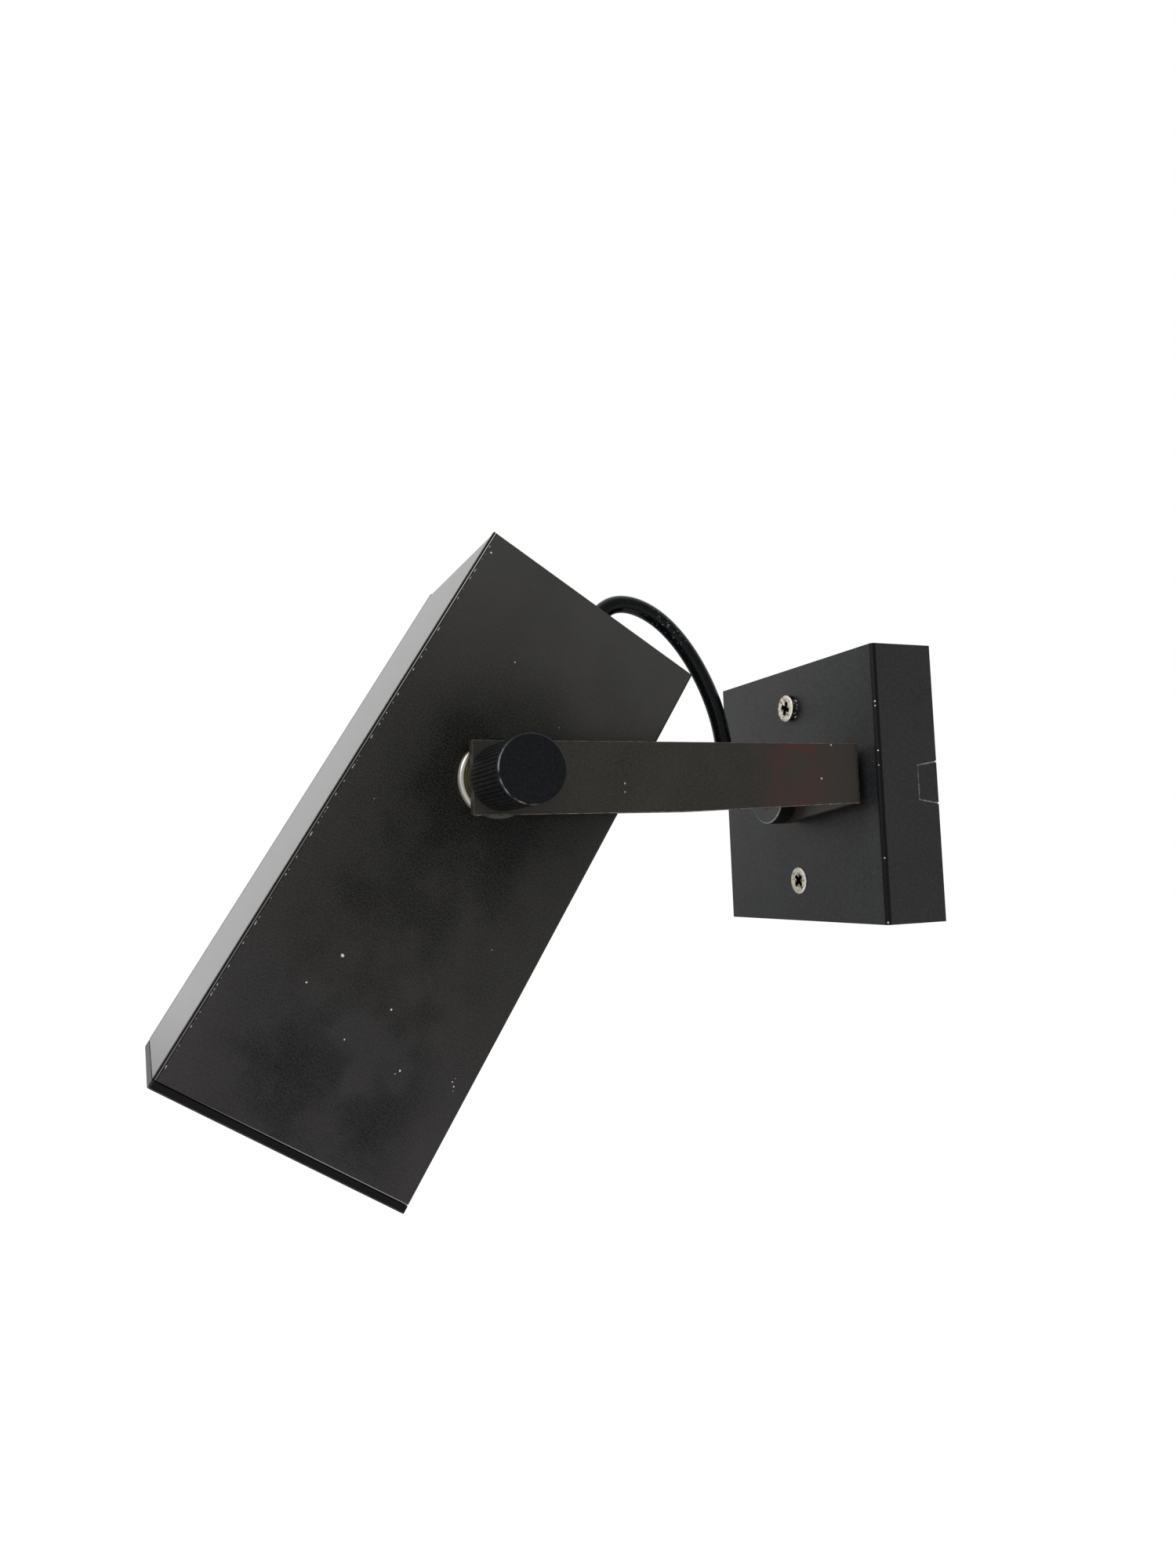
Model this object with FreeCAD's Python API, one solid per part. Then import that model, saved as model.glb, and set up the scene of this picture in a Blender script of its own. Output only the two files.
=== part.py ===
import FreeCAD, Part

import math
import os

# Square spotlight on a single side arm that swivels on a box-shaped wall base. Millimetres.
# Origin: middle of the base where it meets the wall. -Y points into the room, +Z up,
# +X along the wall to the side that carries the arm and the knob.

os.makedirs("parts", exist_ok=True)

V = FreeCAD.Vector
X_AXIS = V(1, 0, 0)
Y_AXIS = V(0, 1, 0)
Z_AXIS = V(0, 0, 1)

# ---- fits and gaps -------------------------------------------------------------------
SLIDE_FIT = 0.05          # radial clearance of a shaft that turns in its hole
THREAD_FIT = 0.03         # radial gap drawn between a screw and its thread
FACE_GAP = 0.1            # axial gap between faces that turn on each other
SHEET_GAP = 0.4           # open seam between two folded sheets
INSERT_GAP = 0.2          # play round a part pushed inside another
CUT_OVER = 1.0            # how far a cutting tool runs past what it cuts
TINY = 1e-6               # two places closer than this are the same

# ---- wall base -----------------------------------------------------------------------
BASE_W = 92.0             # along the wall
BASE_H = 86.0
BASE_D = 22.0             # out from the wall
BASE_SHEET = 1.5
BASE_BEND_R = 1.2
KNOCKOUT_W = 13.5         # width at the wall edge
KNOCKOUT_TOP_W = 11.0     # width at its inner end
KNOCKOUT_D = 7.5
SCORE_W = 0.35            # width and depth of the scored line
SCORE_DEPTH = 0.5
COVER_SCREW_Z = 29.5      # cover screws sit this far above and below the middle
COVER_SCREW_R = 2.5
COVER_SCREW_HEAD_R = 4.5
COVER_SCREW_LEN = 12.0
COVER_SCREW_PROUD = 2.0   # the upper screw stands out by this much
SCREW_LIP = 0.3           # straight edge round a countersunk head
SLOT_W = 0.6              # straight slot of the small screws
SLOT_DEPTH = 0.8
RECESS_W = 1.5            # cross recess in a screw head
RECESS_LEN = 4.8
RECESS_DEPTH = 1.6
UPPER_SCREW_TURN = 25.0   # how the two recesses stand
LOWER_SCREW_TURN = 45.0

# ---- bracket on the wall -------------------------------------------------------------
BRACKET_SHEET = 2.0
BRACKET_W = 80.0
BRACKET_H = 56.0
BRACKET_BEND_IN = 20.0    # the ears leave the plate this far from its middle
EAR_W = 14.0
EAR_STAND = 14.0          # height of the ears above the wall
EAR_TIP = 36.5            # end of an ear, from the middle
EAR_NOTCH_GAP = 1.0
WALL_HOLE_SPACING = 60.0
WALL_SLOT_W = 4.6
WALL_SLOT_LEN = 9.0
CABLE_HOLE_R = 9.0

# ---- terminals -----------------------------------------------------------------------
TERM_L = 26.0
TERM_W = 15.0
TERM_H = 12.0
TERM_X = 25.0             # middle of the block
TERM_Z = -18.5
TERM_POLES = 3
TERM_WALL = 1.2
TERM_SCREW_R = 1.5
TERM_SCREW_LEN = 5.0
TERM_SCREW_ROW = 4.0      # screw rows lie this far each side of the middle
TERM_FIXING_HEAD_R = 1.9
WIRE_HOLE_R = 1.9
WIRE_HOLE_Y = 4.0         # height of the wire holes above the bracket
EARTH_X = -26.0
EARTH_Z = -18.5
EARTH_HEAD_R = 4.0
EARTH_HEAD_H = 2.4
EARTH_SCREW_R = 2.0
EARTH_WASHER_R = 4.6
EARTH_WASHER_T = 0.8
EARTH_SCREW_LEN = 8.0

# ---- swivel --------------------------------------------------------------------------
SWIVEL_Z = 0.0            # the swivel sits at the middle of the base
NIPPLE_R = 5.0
NIPPLE_BORE_R = 3.4
NIPPLE_INNER_END = 11.5   # distance of its inner end from the wall
THRUST_WASHER_T = 2.6      # also spaces the foot off the cover
THRUST_WASHER_R = 9.5
INNER_WASHER_T = 1.0
INNER_WASHER_R = 9.0
SPRING_WASHER_T = 0.9
SPRING_WASHER_R = 8.0
NUT_AF = 14.0             # across the flats
NUT_T = 2.5
BOSS_R = 10.0
BOSS_H = 5.8
BOSS_EDGE = 0.4
BOSS_MOUTH_R = 4.4        # mouth that holds the flex bush
BOSS_MOUTH_DEPTH = 3.0
BUSH_RECESS = 1.5         # the bush ends this far inside the face of the boss

# ---- arm -----------------------------------------------------------------------------
ARM_W = 20.0
ARM_T = 3.0
ARM_BEND_R = 1.0          # inside the bend
ARM_CORNER_R = 1.6        # outside the bend, pressed close
ARM_RISE = 2.5            # the bar lies this much above the swivel, so the foot slopes down to it
ARM_TAPER = 1.7           # the bar's lower edge rises this much toward the foot
ARM_TAPER_START = -85.0   # from here, out from the wall
ARM_EDGE = 0.25
ARM_OVERHANG = 8.3        # bar past the tilt pivot
PIVOT_Y = -140.0          # tilt pivot out from the wall

# ---- shade ---------------------------------------------------------------------------
TILT_REST = 57.5          # beam below the horizontal as photographed
SHADE_W = 71.0            # square section
SHADE_L = 166.5           # with the bezel
PIVOT_FROM_REAR = 58.5
SHADE_SHEET = 1.5
SHADE_BEND_R = 1.2
COVER_FLANGE = 9.0
BEZEL_T = 2.0
BEZEL_GAP = 0.3
BEZEL_OPENING = 65.0
BEZEL_COLLAR_WALL = 1.0
BEZEL_COLLAR_L = 9.0
VENT_W = 2.6
VENT_L = 22.0
VENT_PITCH = 7.0
VENTS_ABOVE = 3
VENTS_BELOW = 2
VENT_START_UP = 15.0      # first slot above the middle of the rear wall
VENT_START_DOWN = 20.0    # first slot below it, past the flex
FLEX_EXIT_DOWN = 10.0     # the flex leaves this far below the middle of the rear wall
FIXING_R = 1.5            # small fixing screws
FIXING_HEAD_R = 2.8
FIXING_HEAD_H = 1.8
FIXING_LEN = 6.0
FIXING_X = 25.0

# ---- tilt joint ----------------------------------------------------------------------
DISC_R = 11.0
DISC_T = 2.0
BOLT_R = 3.0
BOLT_HEAD_R = 6.0
BOLT_HEAD_H = 3.0
PLATE_SIZE = 32.0
PLATE_T = 2.0
KNOB_R = 9.0
KNOB_L = 23.6
KNOB_RIDGES = 48
KNOB_GROOVE = 0.45
KNOB_GROOVE_SHARE = 0.28  # half the groove's width, as a share of the ridge pitch
KNOB_EDGE = 0.3
KNOB_RIM = 1.6            # smooth band behind the front face
KNOB_BORE_DEPTH = 16.0
INSERT_R = 5.2
INSERT_L = 13.0
BOLT_THREAD_IN = 12.0     # bolt length inside the knob

# ---- lamp and holder -----------------------------------------------------------------
LAMP_R = 31.5
LAMP_L = 103.0
LAMP_NECK_R = 17.0
LAMP_CAP_R = 13.0
LAMP_CAP_L = 26.0
LAMP_CAP_WALL = 1.0
LAMP_CAP_SHOULDER = 3.0
LAMP_THREAD = 0.7
LAMP_THREAD_TURNS = 5
LAMP_NECK_FLARE = 6.0     # the neck widens over this length
LAMP_NECK_SHARE = 0.36    # share of the glass that is neck
LAMP_BOWL_BULGE = 2.2
LAMP_EDGE_R = 4.5
LAMP_FACE_DOME = 5.0
LAMP_GLASS = 1.2
HOLDER_R = 19.0
HOLDER_MOUTH_R = 21.0
HOLDER_L = 37.0
HOLDER_BORE_R = 14.6
HOLDER_BACK_T = 10.0
HOLDER_EDGE = 3.0         # slope round the back
HOLDER_RIM_L = 10.0       # thick rim round the mouth
HOLDER_FLARE = 0.5        # the bore opens this much towards the mouth
CONTACT_R = 4.0
CONTACT_T = 1.5
SHELL_WALL = 0.4
BRIDGE_SHEET = 1.5
BRIDGE_STAND = 12.0       # holder seat in front of the rear wall
BRIDGE_W = 22.0
BRIDGE_SPAN = 40.0        # across the legs
BRIDGE_FOOT = 9.0
HOLDER_NIPPLE_R = 4.8
HOLDER_NIPPLE_BORE_R = 3.4
HOLDER_NIPPLE_L = 8.0
HOLDER_NUT_AF = 13.0
CORE_HOLE_X = 11.0        # wire holes in the holder's back, each side of the middle

# ---- flex ----------------------------------------------------------------------------
FLEX_R = 2.8
CORE_R = 1.1
CORE_SPREAD = 1.4         # cores from the middle of the flex
CORE_LANE_Z = -2.0        # level of the first core on its way to the terminals
CORE_LANE_PITCH = 4.0
CORE_IN_TERMINAL = 2.0
CORE_LEAD = 2.4           # straight run of a core where it leaves the flex
CORE_TURN = 3.0           # a core turns down this far before its terminal
CORE_PASS_R = 1.6         # hole a core passes through
GROMMET_OUT = 5.0         # grommet outside the rear wall
GROMMET_R = 5.5
GROMMET_TIP_R = 4.3
GROMMET_NECK_R = 4.4
GROMMET_INNER = 2.5
FLEX_TAIL = 4.0           # flex inside the shade, past the grommet
FLEX_LEAD_OUT = 4.8       # first run, square to the rear wall
FLEX_LEAD_IN = 5.5        # last run, along the swivel
# points between the two leads in the plane x = 0, chosen by eye: (y, z)
FLEX_ROUTE = [
    (-90.0, 60.9), (-82.4, 63.4), (-74.4, 61.3), (-67.2, 55.6),
    (-60.8, 47.2), (-55.2, 37.2), (-51.4, 26.6), (-49.4, 16.4), (-47.2, 8.2),
    (-43.2, 2.6),
]

# ---- places worked out from the sizes -------------------------------------------------
COVER_FRONT = -BASE_D
COVER_INSIDE = COVER_FRONT + BASE_SHEET
FOOT_BACK = COVER_FRONT - FACE_GAP - THRUST_WASHER_T
FOOT_FRONT = FOOT_BACK - ARM_T
BOSS_FRONT = FOOT_FRONT - BOSS_H
FLEX_END_Y = BOSS_FRONT + BUSH_RECESS
DISC_FACE = SHADE_W / 2 + DISC_T
ARM_INNER = DISC_FACE + FACE_GAP
ARM_OUTER = ARM_INNER + ARM_T
KNOB_BACK = ARM_OUTER + FACE_GAP
KNOB_FRONT = KNOB_BACK + KNOB_L
ARM_END = PIVOT_Y - ARM_OVERHANG
PIVOT_Z = SWIVEL_Z + ARM_RISE
ARM_LOW = PIVOT_Z - ARM_W / 2
ARM_HIGH = PIVOT_Z + ARM_W / 2
# in the shade's own frame the pivot is the origin and the beam points along -Y
REAR_Y = PIVOT_FROM_REAR
FRONT_Y = REAR_Y - SHADE_L
SHELL_FRONT_Y = FRONT_Y + BEZEL_T + BEZEL_GAP
REAR_INSIDE = REAR_Y - SHADE_SHEET
HALF = SHADE_W / 2
INSIDE = HALF - SHADE_SHEET
SEAT_Y = REAR_INSIDE - BRIDGE_STAND
HOLDER_BACK_Y = SEAT_Y - BRIDGE_SHEET
CONTACT_Y = HOLDER_BACK_Y - HOLDER_BACK_T


# ---- small helpers -------------------------------------------------------------------
def block(x0, x1, y0, y1, z0, z1):
    return Part.makeBox(x1 - x0, y1 - y0, z1 - z0, V(x0, y0, z0))


def rod(radius, start, end):
    line = end - start
    return Part.makeCylinder(radius, line.Length, start, line)


def ring(outer, inner, start, end):
    line = end - start
    line.normalize()
    hole = rod(inner, start - line * CUT_OVER, end + line * CUT_OVER)
    return rod(outer, start, end).cut(hole)


def cone(radius_a, radius_b, start, end):
    line = end - start
    return Part.makeCone(radius_a, radius_b, line.Length, start, line)


def hexagon(across_flats, start, end):
    line = end - start
    radius = across_flats / 2 / math.cos(math.pi / 6)
    corners = []
    for k in range(7):
        angle = k * math.pi / 3
        corners.append(V(radius * math.cos(angle), 0, radius * math.sin(angle)) + start)
    face = Part.Face(Part.makePolygon(corners))
    return face.extrude(line)


def revolved(profile, start, direction):
    """Solid of revolution from (radius, distance) points, placed along a direction."""
    points = [V(radius, 0, distance) for radius, distance in profile]
    points.append(points[0])
    solid = Part.Face(Part.makePolygon(points)).revolve(V(0, 0, 0), Z_AXIS, 360)
    solid.Placement = FreeCAD.Placement(start, FreeCAD.Rotation(Z_AXIS, direction))
    return solid


def bend_corners(shape, axis, radius, chosen):
    """Round the straight edges that run along an axis and that chosen() picks."""
    edges = []
    for edge in shape.Edges:
        if len(edge.Vertexes) != 2:
            continue
        run = edge.Vertexes[1].Point - edge.Vertexes[0].Point
        if run.Length < CUT_OVER:
            continue
        if abs(abs(run.normalize().dot(axis)) - 1) > TINY:
            continue
        if chosen(edge.CenterOfMass):
            edges.append(edge)
    return shape.makeFillet(radius, edges)


def tilted(shape):
    """From the shade's own frame to its place on the arm."""
    placed = shape.copy()
    placed.rotate(V(0, 0, 0), X_AXIS, TILT_REST)
    placed.translate(V(0, PIVOT_Y, PIVOT_Z))
    return placed


def tilted_point(x, y, z):
    point = FreeCAD.Rotation(X_AXIS, TILT_REST).multVec(V(x, y, z))
    return point + V(0, PIVOT_Y, PIVOT_Z)


def compound(solids):
    return Part.makeCompound(solids)


def save(name, shape):
    shape.exportStep("parts/" + name + ".step")
    print("%-22s %2d solid(s) %10.1f mm3" % (name, len(shape.Solids), shape.Volume))


def tube_path(points, label):
    """Straight runs joined by tangent arcs through a list of points."""
    edges = []
    last = points[0]
    radii = []
    for k in range(1, len(points) - 1):
        corner = points[k]
        back = points[k - 1] - corner
        ahead = points[k + 1] - corner
        shorter = min(back.Length, ahead.Length)
        turn = math.pi - back.getAngle(ahead)
        reach = 0.45 * shorter
        radii.append(reach / math.tan(turn / 2))
        back.normalize()
        ahead.normalize()
        start = corner + back * reach
        end = corner + ahead * reach
        inward = (back + ahead).normalize()
        depth = radii[-1] * (1 / math.cos(turn / 2) - 1)
        middle = corner + inward * depth
        edges.append(Part.LineSegment(last, start).toShape())
        edges.append(Part.Arc(start, middle, end).toShape())
        last = end
    edges.append(Part.LineSegment(last, points[-1]).toShape())
    print(label, "radii mm", [round(radius, 1) for radius in radii])
    return Part.Wire(edges)


def tube(points, radius, label):
    path = tube_path(points, label)
    first = points[1] - points[0]
    profile = Part.Wire(Part.makeCircle(radius, points[0], first))
    solid = path.makePipeShell([profile], True, False)
    expected = math.pi * radius * radius * path.Length
    print(label, "length", round(path.Length, 1), "volume ratio", round(solid.Volume / expected, 4))
    return solid


def cross_recess(start, direction, turn):
    """Two crossed slots cut into a screw head from its face, turned about the screw."""
    side = FreeCAD.Rotation(direction, turn).multVec(direction.cross(X_AXIS))
    side.normalize()
    other = direction.cross(side)
    slots = []
    for along, across in ((side, other), (other, side)):
        corners = []
        for a, b in ((-1, -1), (1, -1), (1, 1), (-1, 1), (-1, -1)):
            corners.append(start + along * (a * RECESS_LEN / 2) + across * (b * RECESS_W / 2))
        slots.append(Part.Face(Part.makePolygon(corners)).extrude(direction * RECESS_DEPTH))
    return slots[0].fuse(slots[1])


# ---- wall base pieces ------------------------------------------------------------------
def wall_cover():
    outer = block(-BASE_W / 2, BASE_W / 2, COVER_FRONT, 0, -BASE_H / 2, BASE_H / 2)
    outer = bend_corners(outer, Z_AXIS, BASE_BEND_R, lambda c: c.y < COVER_FRONT / 2)
    inner = block(-BASE_W / 2 + BASE_SHEET, BASE_W / 2 - BASE_SHEET, COVER_INSIDE, CUT_OVER,
                  -BASE_H / 2 + BASE_SHEET, BASE_H / 2 - BASE_SHEET)
    cover = outer.cut(inner)
    middle = V(0, COVER_FRONT, SWIVEL_Z)
    cover = cover.cut(rod(NIPPLE_R + SLIDE_FIT, middle - Y_AXIS * CUT_OVER,
                          middle + Y_AXIS * (BASE_SHEET + CUT_OVER)))
    for side in (-1, 1):
        face = V(0, COVER_FRONT, side * COVER_SCREW_Z)
        sink = COVER_SCREW_HEAD_R + SHEET_GAP / 4
        cover = cover.cut(cone(sink, sink - BASE_SHEET, face, face + Y_AXIS * BASE_SHEET))
    return cover.cut(knockout_score())


def knockout_score():
    """Scored outline of the cable knockout on the +X side, at the wall edge."""
    face = BASE_W / 2
    outline = [
        V(face, 0, KNOCKOUT_W / 2), V(face, -KNOCKOUT_D, KNOCKOUT_TOP_W / 2),
        V(face, -KNOCKOUT_D, -KNOCKOUT_TOP_W / 2), V(face, 0, -KNOCKOUT_W / 2),
    ]
    outer = Part.Face(Part.makePolygon(outline + outline[:1]))
    wide = KNOCKOUT_W / 2 - SCORE_W
    narrow = KNOCKOUT_TOP_W / 2 - SCORE_W
    end = SCORE_W - KNOCKOUT_D
    inner_outline = [
        V(face, CUT_OVER, wide), V(face, end, narrow), V(face, end, -narrow), V(face, CUT_OVER, -wide),
    ]
    inner = Part.Face(Part.makePolygon(inner_outline + inner_outline[:1]))
    return outer.cut(inner).extrude(V(-SCORE_DEPTH, 0, 0))


def slot_hole(x, z, width, length, y0, y1):
    """Slot through a plate on the wall, its long side level."""
    radius = width / 2
    reach = length / 2 - radius
    hole = block(x - reach, x + reach, y0, y1, z - radius, z + radius)
    for side in (-1, 1):
        hole = hole.fuse(rod(radius, V(x + side * reach, y0, z), V(x + side * reach, y1, z)))
    return hole


def mounting_bracket():
    plate = block(-BRACKET_W / 2, BRACKET_W / 2, -BRACKET_SHEET, 0, -BRACKET_H / 2, BRACKET_H / 2)
    notch = EAR_W / 2 + EAR_NOTCH_GAP
    for side in (-1, 1):
        near = side * BRACKET_BEND_IN
        far = side * (BRACKET_H / 2 + CUT_OVER)
        plate = plate.cut(block(-notch, notch, -BRACKET_SHEET - CUT_OVER, CUT_OVER,
                                min(near, far), max(near, far)))
    for side in (-1, 1):
        near = side * (BRACKET_BEND_IN - BRACKET_SHEET)
        bend = side * BRACKET_BEND_IN
        tip = side * EAR_TIP
        leg = block(-EAR_W / 2, EAR_W / 2, -EAR_STAND, 0, min(near, bend), max(near, bend))
        ear = block(-EAR_W / 2, EAR_W / 2, -EAR_STAND, -EAR_STAND + BRACKET_SHEET,
                    min(near, tip), max(near, tip))
        hole_z = side * COVER_SCREW_Z
        hole = rod(COVER_SCREW_R + THREAD_FIT, V(0, -EAR_STAND - CUT_OVER, hole_z), V(0, 0, hole_z))
        plate = plate.fuse(leg).fuse(ear.cut(hole))
    back = CUT_OVER
    front = -BRACKET_SHEET - CUT_OVER
    for side in (-1, 1):
        plate = plate.cut(slot_hole(side * WALL_HOLE_SPACING / 2, 0, WALL_SLOT_W, WALL_SLOT_LEN, front, back))
    plate = plate.cut(rod(CABLE_HOLE_R, V(0, front, SWIVEL_Z), V(0, back, SWIVEL_Z)))
    plate = plate.cut(rod(EARTH_SCREW_R + THREAD_FIT, V(EARTH_X, front, EARTH_Z), V(EARTH_X, back, EARTH_Z)))
    plate = plate.cut(rod(FIXING_R + THREAD_FIT, V(TERM_X, front, TERM_Z), V(TERM_X, back, TERM_Z)))
    return plate.removeSplitter()


def cover_screw(side, proud, turn):
    """Countersunk machine screw; its head lies at the front of the cover or stands proud."""
    top = V(0, COVER_FRONT - proud, side * COVER_SCREW_Z)
    depth = COVER_SCREW_HEAD_R - COVER_SCREW_R
    round_off = SCREW_LIP / 3
    point = COVER_SCREW_R / 3
    profile = [
        (0, 0), (COVER_SCREW_HEAD_R - round_off, 0), (COVER_SCREW_HEAD_R, round_off),
        (COVER_SCREW_HEAD_R, SCREW_LIP), (COVER_SCREW_R, depth + SCREW_LIP),
        (COVER_SCREW_R, COVER_SCREW_LEN - point), (COVER_SCREW_R - point, COVER_SCREW_LEN),
        (0, COVER_SCREW_LEN),
    ]
    screw = revolved(profile, top, Y_AXIS)
    return screw.cut(cross_recess(top, Y_AXIS, turn))


def cover_screws():
    upper = cover_screw(1, COVER_SCREW_PROUD, UPPER_SCREW_TURN)
    lower = cover_screw(-1, SCREW_LIP, LOWER_SCREW_TURN)
    return compound([upper, lower])


def terminal_places():
    pitch = TERM_L / TERM_POLES
    first = TERM_X - TERM_L / 2 + pitch / 2
    places = []
    for pole in range(TERM_POLES):
        places.append(first + pole * pitch)
    return places


def terminal_block():
    base = -BRACKET_SHEET
    body = block(TERM_X - TERM_L / 2, TERM_X + TERM_L / 2, base - TERM_H, base,
                 TERM_Z - TERM_W / 2, TERM_Z + TERM_W / 2)
    pitch = TERM_L / TERM_POLES
    groove = TERM_WALL
    for pole in range(1, TERM_POLES):
        x = TERM_X - TERM_L / 2 + pole * pitch
        body = body.cut(block(x - groove / 2, x + groove / 2, base - TERM_H - CUT_OVER, base - TERM_H / 2,
                              TERM_Z - TERM_W, TERM_Z + TERM_W))
    for x in terminal_places():
        body = body.cut(rod(WIRE_HOLE_R, V(x, base - WIRE_HOLE_Y, TERM_Z - TERM_W),
                            V(x, base - WIRE_HOLE_Y, TERM_Z + TERM_W)))
        for side in (-1, 1):
            z = TERM_Z + side * TERM_SCREW_ROW
            body = body.cut(rod(TERM_SCREW_R + THREAD_FIT, V(x, base - TERM_H - CUT_OVER, z),
                                V(x, base - WIRE_HOLE_Y, z)))
    head = base - TERM_H + FIXING_HEAD_H
    body = body.cut(rod(FIXING_R + THREAD_FIT, V(TERM_X, base - TERM_H - CUT_OVER, TERM_Z),
                        V(TERM_X, CUT_OVER, TERM_Z)))
    return body.cut(rod(TERM_FIXING_HEAD_R + INSERT_GAP / 2, V(TERM_X, base - TERM_H - CUT_OVER, TERM_Z),
                        V(TERM_X, head, TERM_Z)))


def terminal_screws():
    top = -BRACKET_SHEET - TERM_H + TERM_WALL
    screws = []
    for x in terminal_places():
        for side in (-1, 1):
            z = TERM_Z + side * TERM_SCREW_ROW
            screw = rod(TERM_SCREW_R, V(x, top, z), V(x, top + TERM_SCREW_LEN, z))
            slot = block(x - TERM_SCREW_R, x + TERM_SCREW_R, top - CUT_OVER, top + SLOT_DEPTH,
                         z - SLOT_W / 2, z + SLOT_W / 2)
            screws.append(screw.cut(slot))
    return compound(screws)


def terminal_fixing_screw():
    top = -BRACKET_SHEET - TERM_H
    head_r = TERM_FIXING_HEAD_R
    head = rod(head_r, V(TERM_X, top, TERM_Z), V(TERM_X, top + FIXING_HEAD_H, TERM_Z))
    shank = rod(FIXING_R, V(TERM_X, top + FIXING_HEAD_H / 2, TERM_Z), V(TERM_X, -BRACKET_SHEET / 4, TERM_Z))
    slot = block(TERM_X - head_r, TERM_X + head_r, top - CUT_OVER, top + SLOT_DEPTH,
                 TERM_Z - SLOT_W / 2, TERM_Z + SLOT_W / 2)
    return head.fuse(shank).cut(slot)


def earth_screw():
    seat = -BRACKET_SHEET - EARTH_WASHER_T
    top = seat - EARTH_HEAD_H
    head = rod(EARTH_HEAD_R, V(EARTH_X, top, EARTH_Z), V(EARTH_X, seat, EARTH_Z))
    shank = rod(EARTH_SCREW_R, V(EARTH_X, seat - CUT_OVER, EARTH_Z), V(EARTH_X, 0, EARTH_Z))
    slot = block(EARTH_X - EARTH_HEAD_R, EARTH_X + EARTH_HEAD_R, top - CUT_OVER, top + SLOT_DEPTH,
                 EARTH_Z - SLOT_W, EARTH_Z + SLOT_W)
    return head.fuse(shank).cut(slot)


def earth_washer():
    front = V(EARTH_X, -BRACKET_SHEET - EARTH_WASHER_T, EARTH_Z)
    return ring(EARTH_WASHER_R, EARTH_SCREW_R + INSERT_GAP, front, V(EARTH_X, -BRACKET_SHEET, EARTH_Z))


# ---- swivel pieces ---------------------------------------------------------------------
def on_swivel(y):
    return V(0, y, SWIVEL_Z)


def swivel_stack():
    """Distances from the wall of the pieces on the nipple inside the cover."""
    washer = COVER_INSIDE + FACE_GAP
    spring = washer + INNER_WASHER_T
    nut = spring + SPRING_WASHER_T
    locknut = nut + NUT_T
    return washer, spring, nut, locknut, locknut + NUT_T


def swivel_nipple():
    end = BOSS_FRONT + BOSS_MOUTH_DEPTH
    return ring(NIPPLE_R, NIPPLE_BORE_R, on_swivel(end), on_swivel(-NIPPLE_INNER_END))


def swivel_nuts():
    nuts = []
    stack = swivel_stack()
    for start, end in ((stack[2], stack[3]), (stack[3], stack[4])):
        nut = hexagon(NUT_AF, on_swivel(start), on_swivel(end))
        hole = rod(NIPPLE_R + THREAD_FIT, on_swivel(start - CUT_OVER), on_swivel(end + CUT_OVER))
        nuts.append(nut.cut(hole))
    return compound(nuts)


def inner_washer():
    stack = swivel_stack()
    return ring(INNER_WASHER_R, NIPPLE_R + INSERT_GAP, on_swivel(stack[0]), on_swivel(stack[1]))


def spring_washer():
    """Split washer: a ring with a slit."""
    stack = swivel_stack()
    washer = ring(SPRING_WASHER_R, NIPPLE_R + INSERT_GAP, on_swivel(stack[1]), on_swivel(stack[2]))
    slit = block(0, SPRING_WASHER_R + CUT_OVER, stack[1] - CUT_OVER, stack[2] + CUT_OVER,
                 SWIVEL_Z - SHEET_GAP, SWIVEL_Z + SHEET_GAP)
    return washer.cut(slit)


def thrust_washer():
    return ring(THRUST_WASHER_R, NIPPLE_R + INSERT_GAP, on_swivel(FOOT_BACK),
                on_swivel(COVER_FRONT - FACE_GAP))


def swivel_boss():
    start = on_swivel(BOSS_FRONT)
    end = on_swivel(FOOT_FRONT)
    boss = rod(BOSS_R, start, end)
    front_edges = [edge for edge in boss.Edges if (edge.CenterOfMass - start).Length < TINY]
    boss = boss.makeChamfer(BOSS_EDGE, front_edges)
    seat = on_swivel(BOSS_FRONT + BOSS_MOUTH_DEPTH)
    boss = boss.cut(rod(NIPPLE_R + THREAD_FIT, seat, end + Y_AXIS * CUT_OVER))
    boss = boss.cut(rod(BOSS_MOUTH_R, start - Y_AXIS * CUT_OVER, seat))
    flare = BOSS_MOUTH_R + BUSH_RECESS / 2
    return boss.cut(cone(flare, BOSS_MOUTH_R, start, on_swivel(BOSS_FRONT + BUSH_RECESS / 2)))


def flex_bush():
    return ring(BOSS_MOUTH_R - SLIDE_FIT, FLEX_R + SLIDE_FIT, on_swivel(FLEX_END_Y),
                on_swivel(BOSS_FRONT + BOSS_MOUTH_DEPTH))


# ---- arm -------------------------------------------------------------------------------
def foot_outline():
    """Straight edges from the bar's two corners that run tangent into the round end."""
    radius = ARM_W / 2
    middle = on_swivel(FOOT_FRONT)
    touch = []
    corners = []
    for side, height in ((-1, ARM_LOW + ARM_TAPER), (1, ARM_HIGH)):
        corner = V(ARM_OUTER, FOOT_FRONT, height)
        line = corner - middle
        lean = math.atan2(line.z, line.x) + side * math.acos(radius / line.Length)
        touch.append(middle + V(radius * math.cos(lean), 0, radius * math.sin(lean)))
        corners.append(corner)
    far = middle - X_AXIS * radius
    return Part.Wire([
        Part.LineSegment(corners[0], touch[0]).toShape(), Part.Arc(touch[0], far, touch[1]).toShape(),
        Part.LineSegment(touch[1], corners[1]).toShape(), Part.LineSegment(corners[1], corners[0]).toShape(),
    ])


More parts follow.
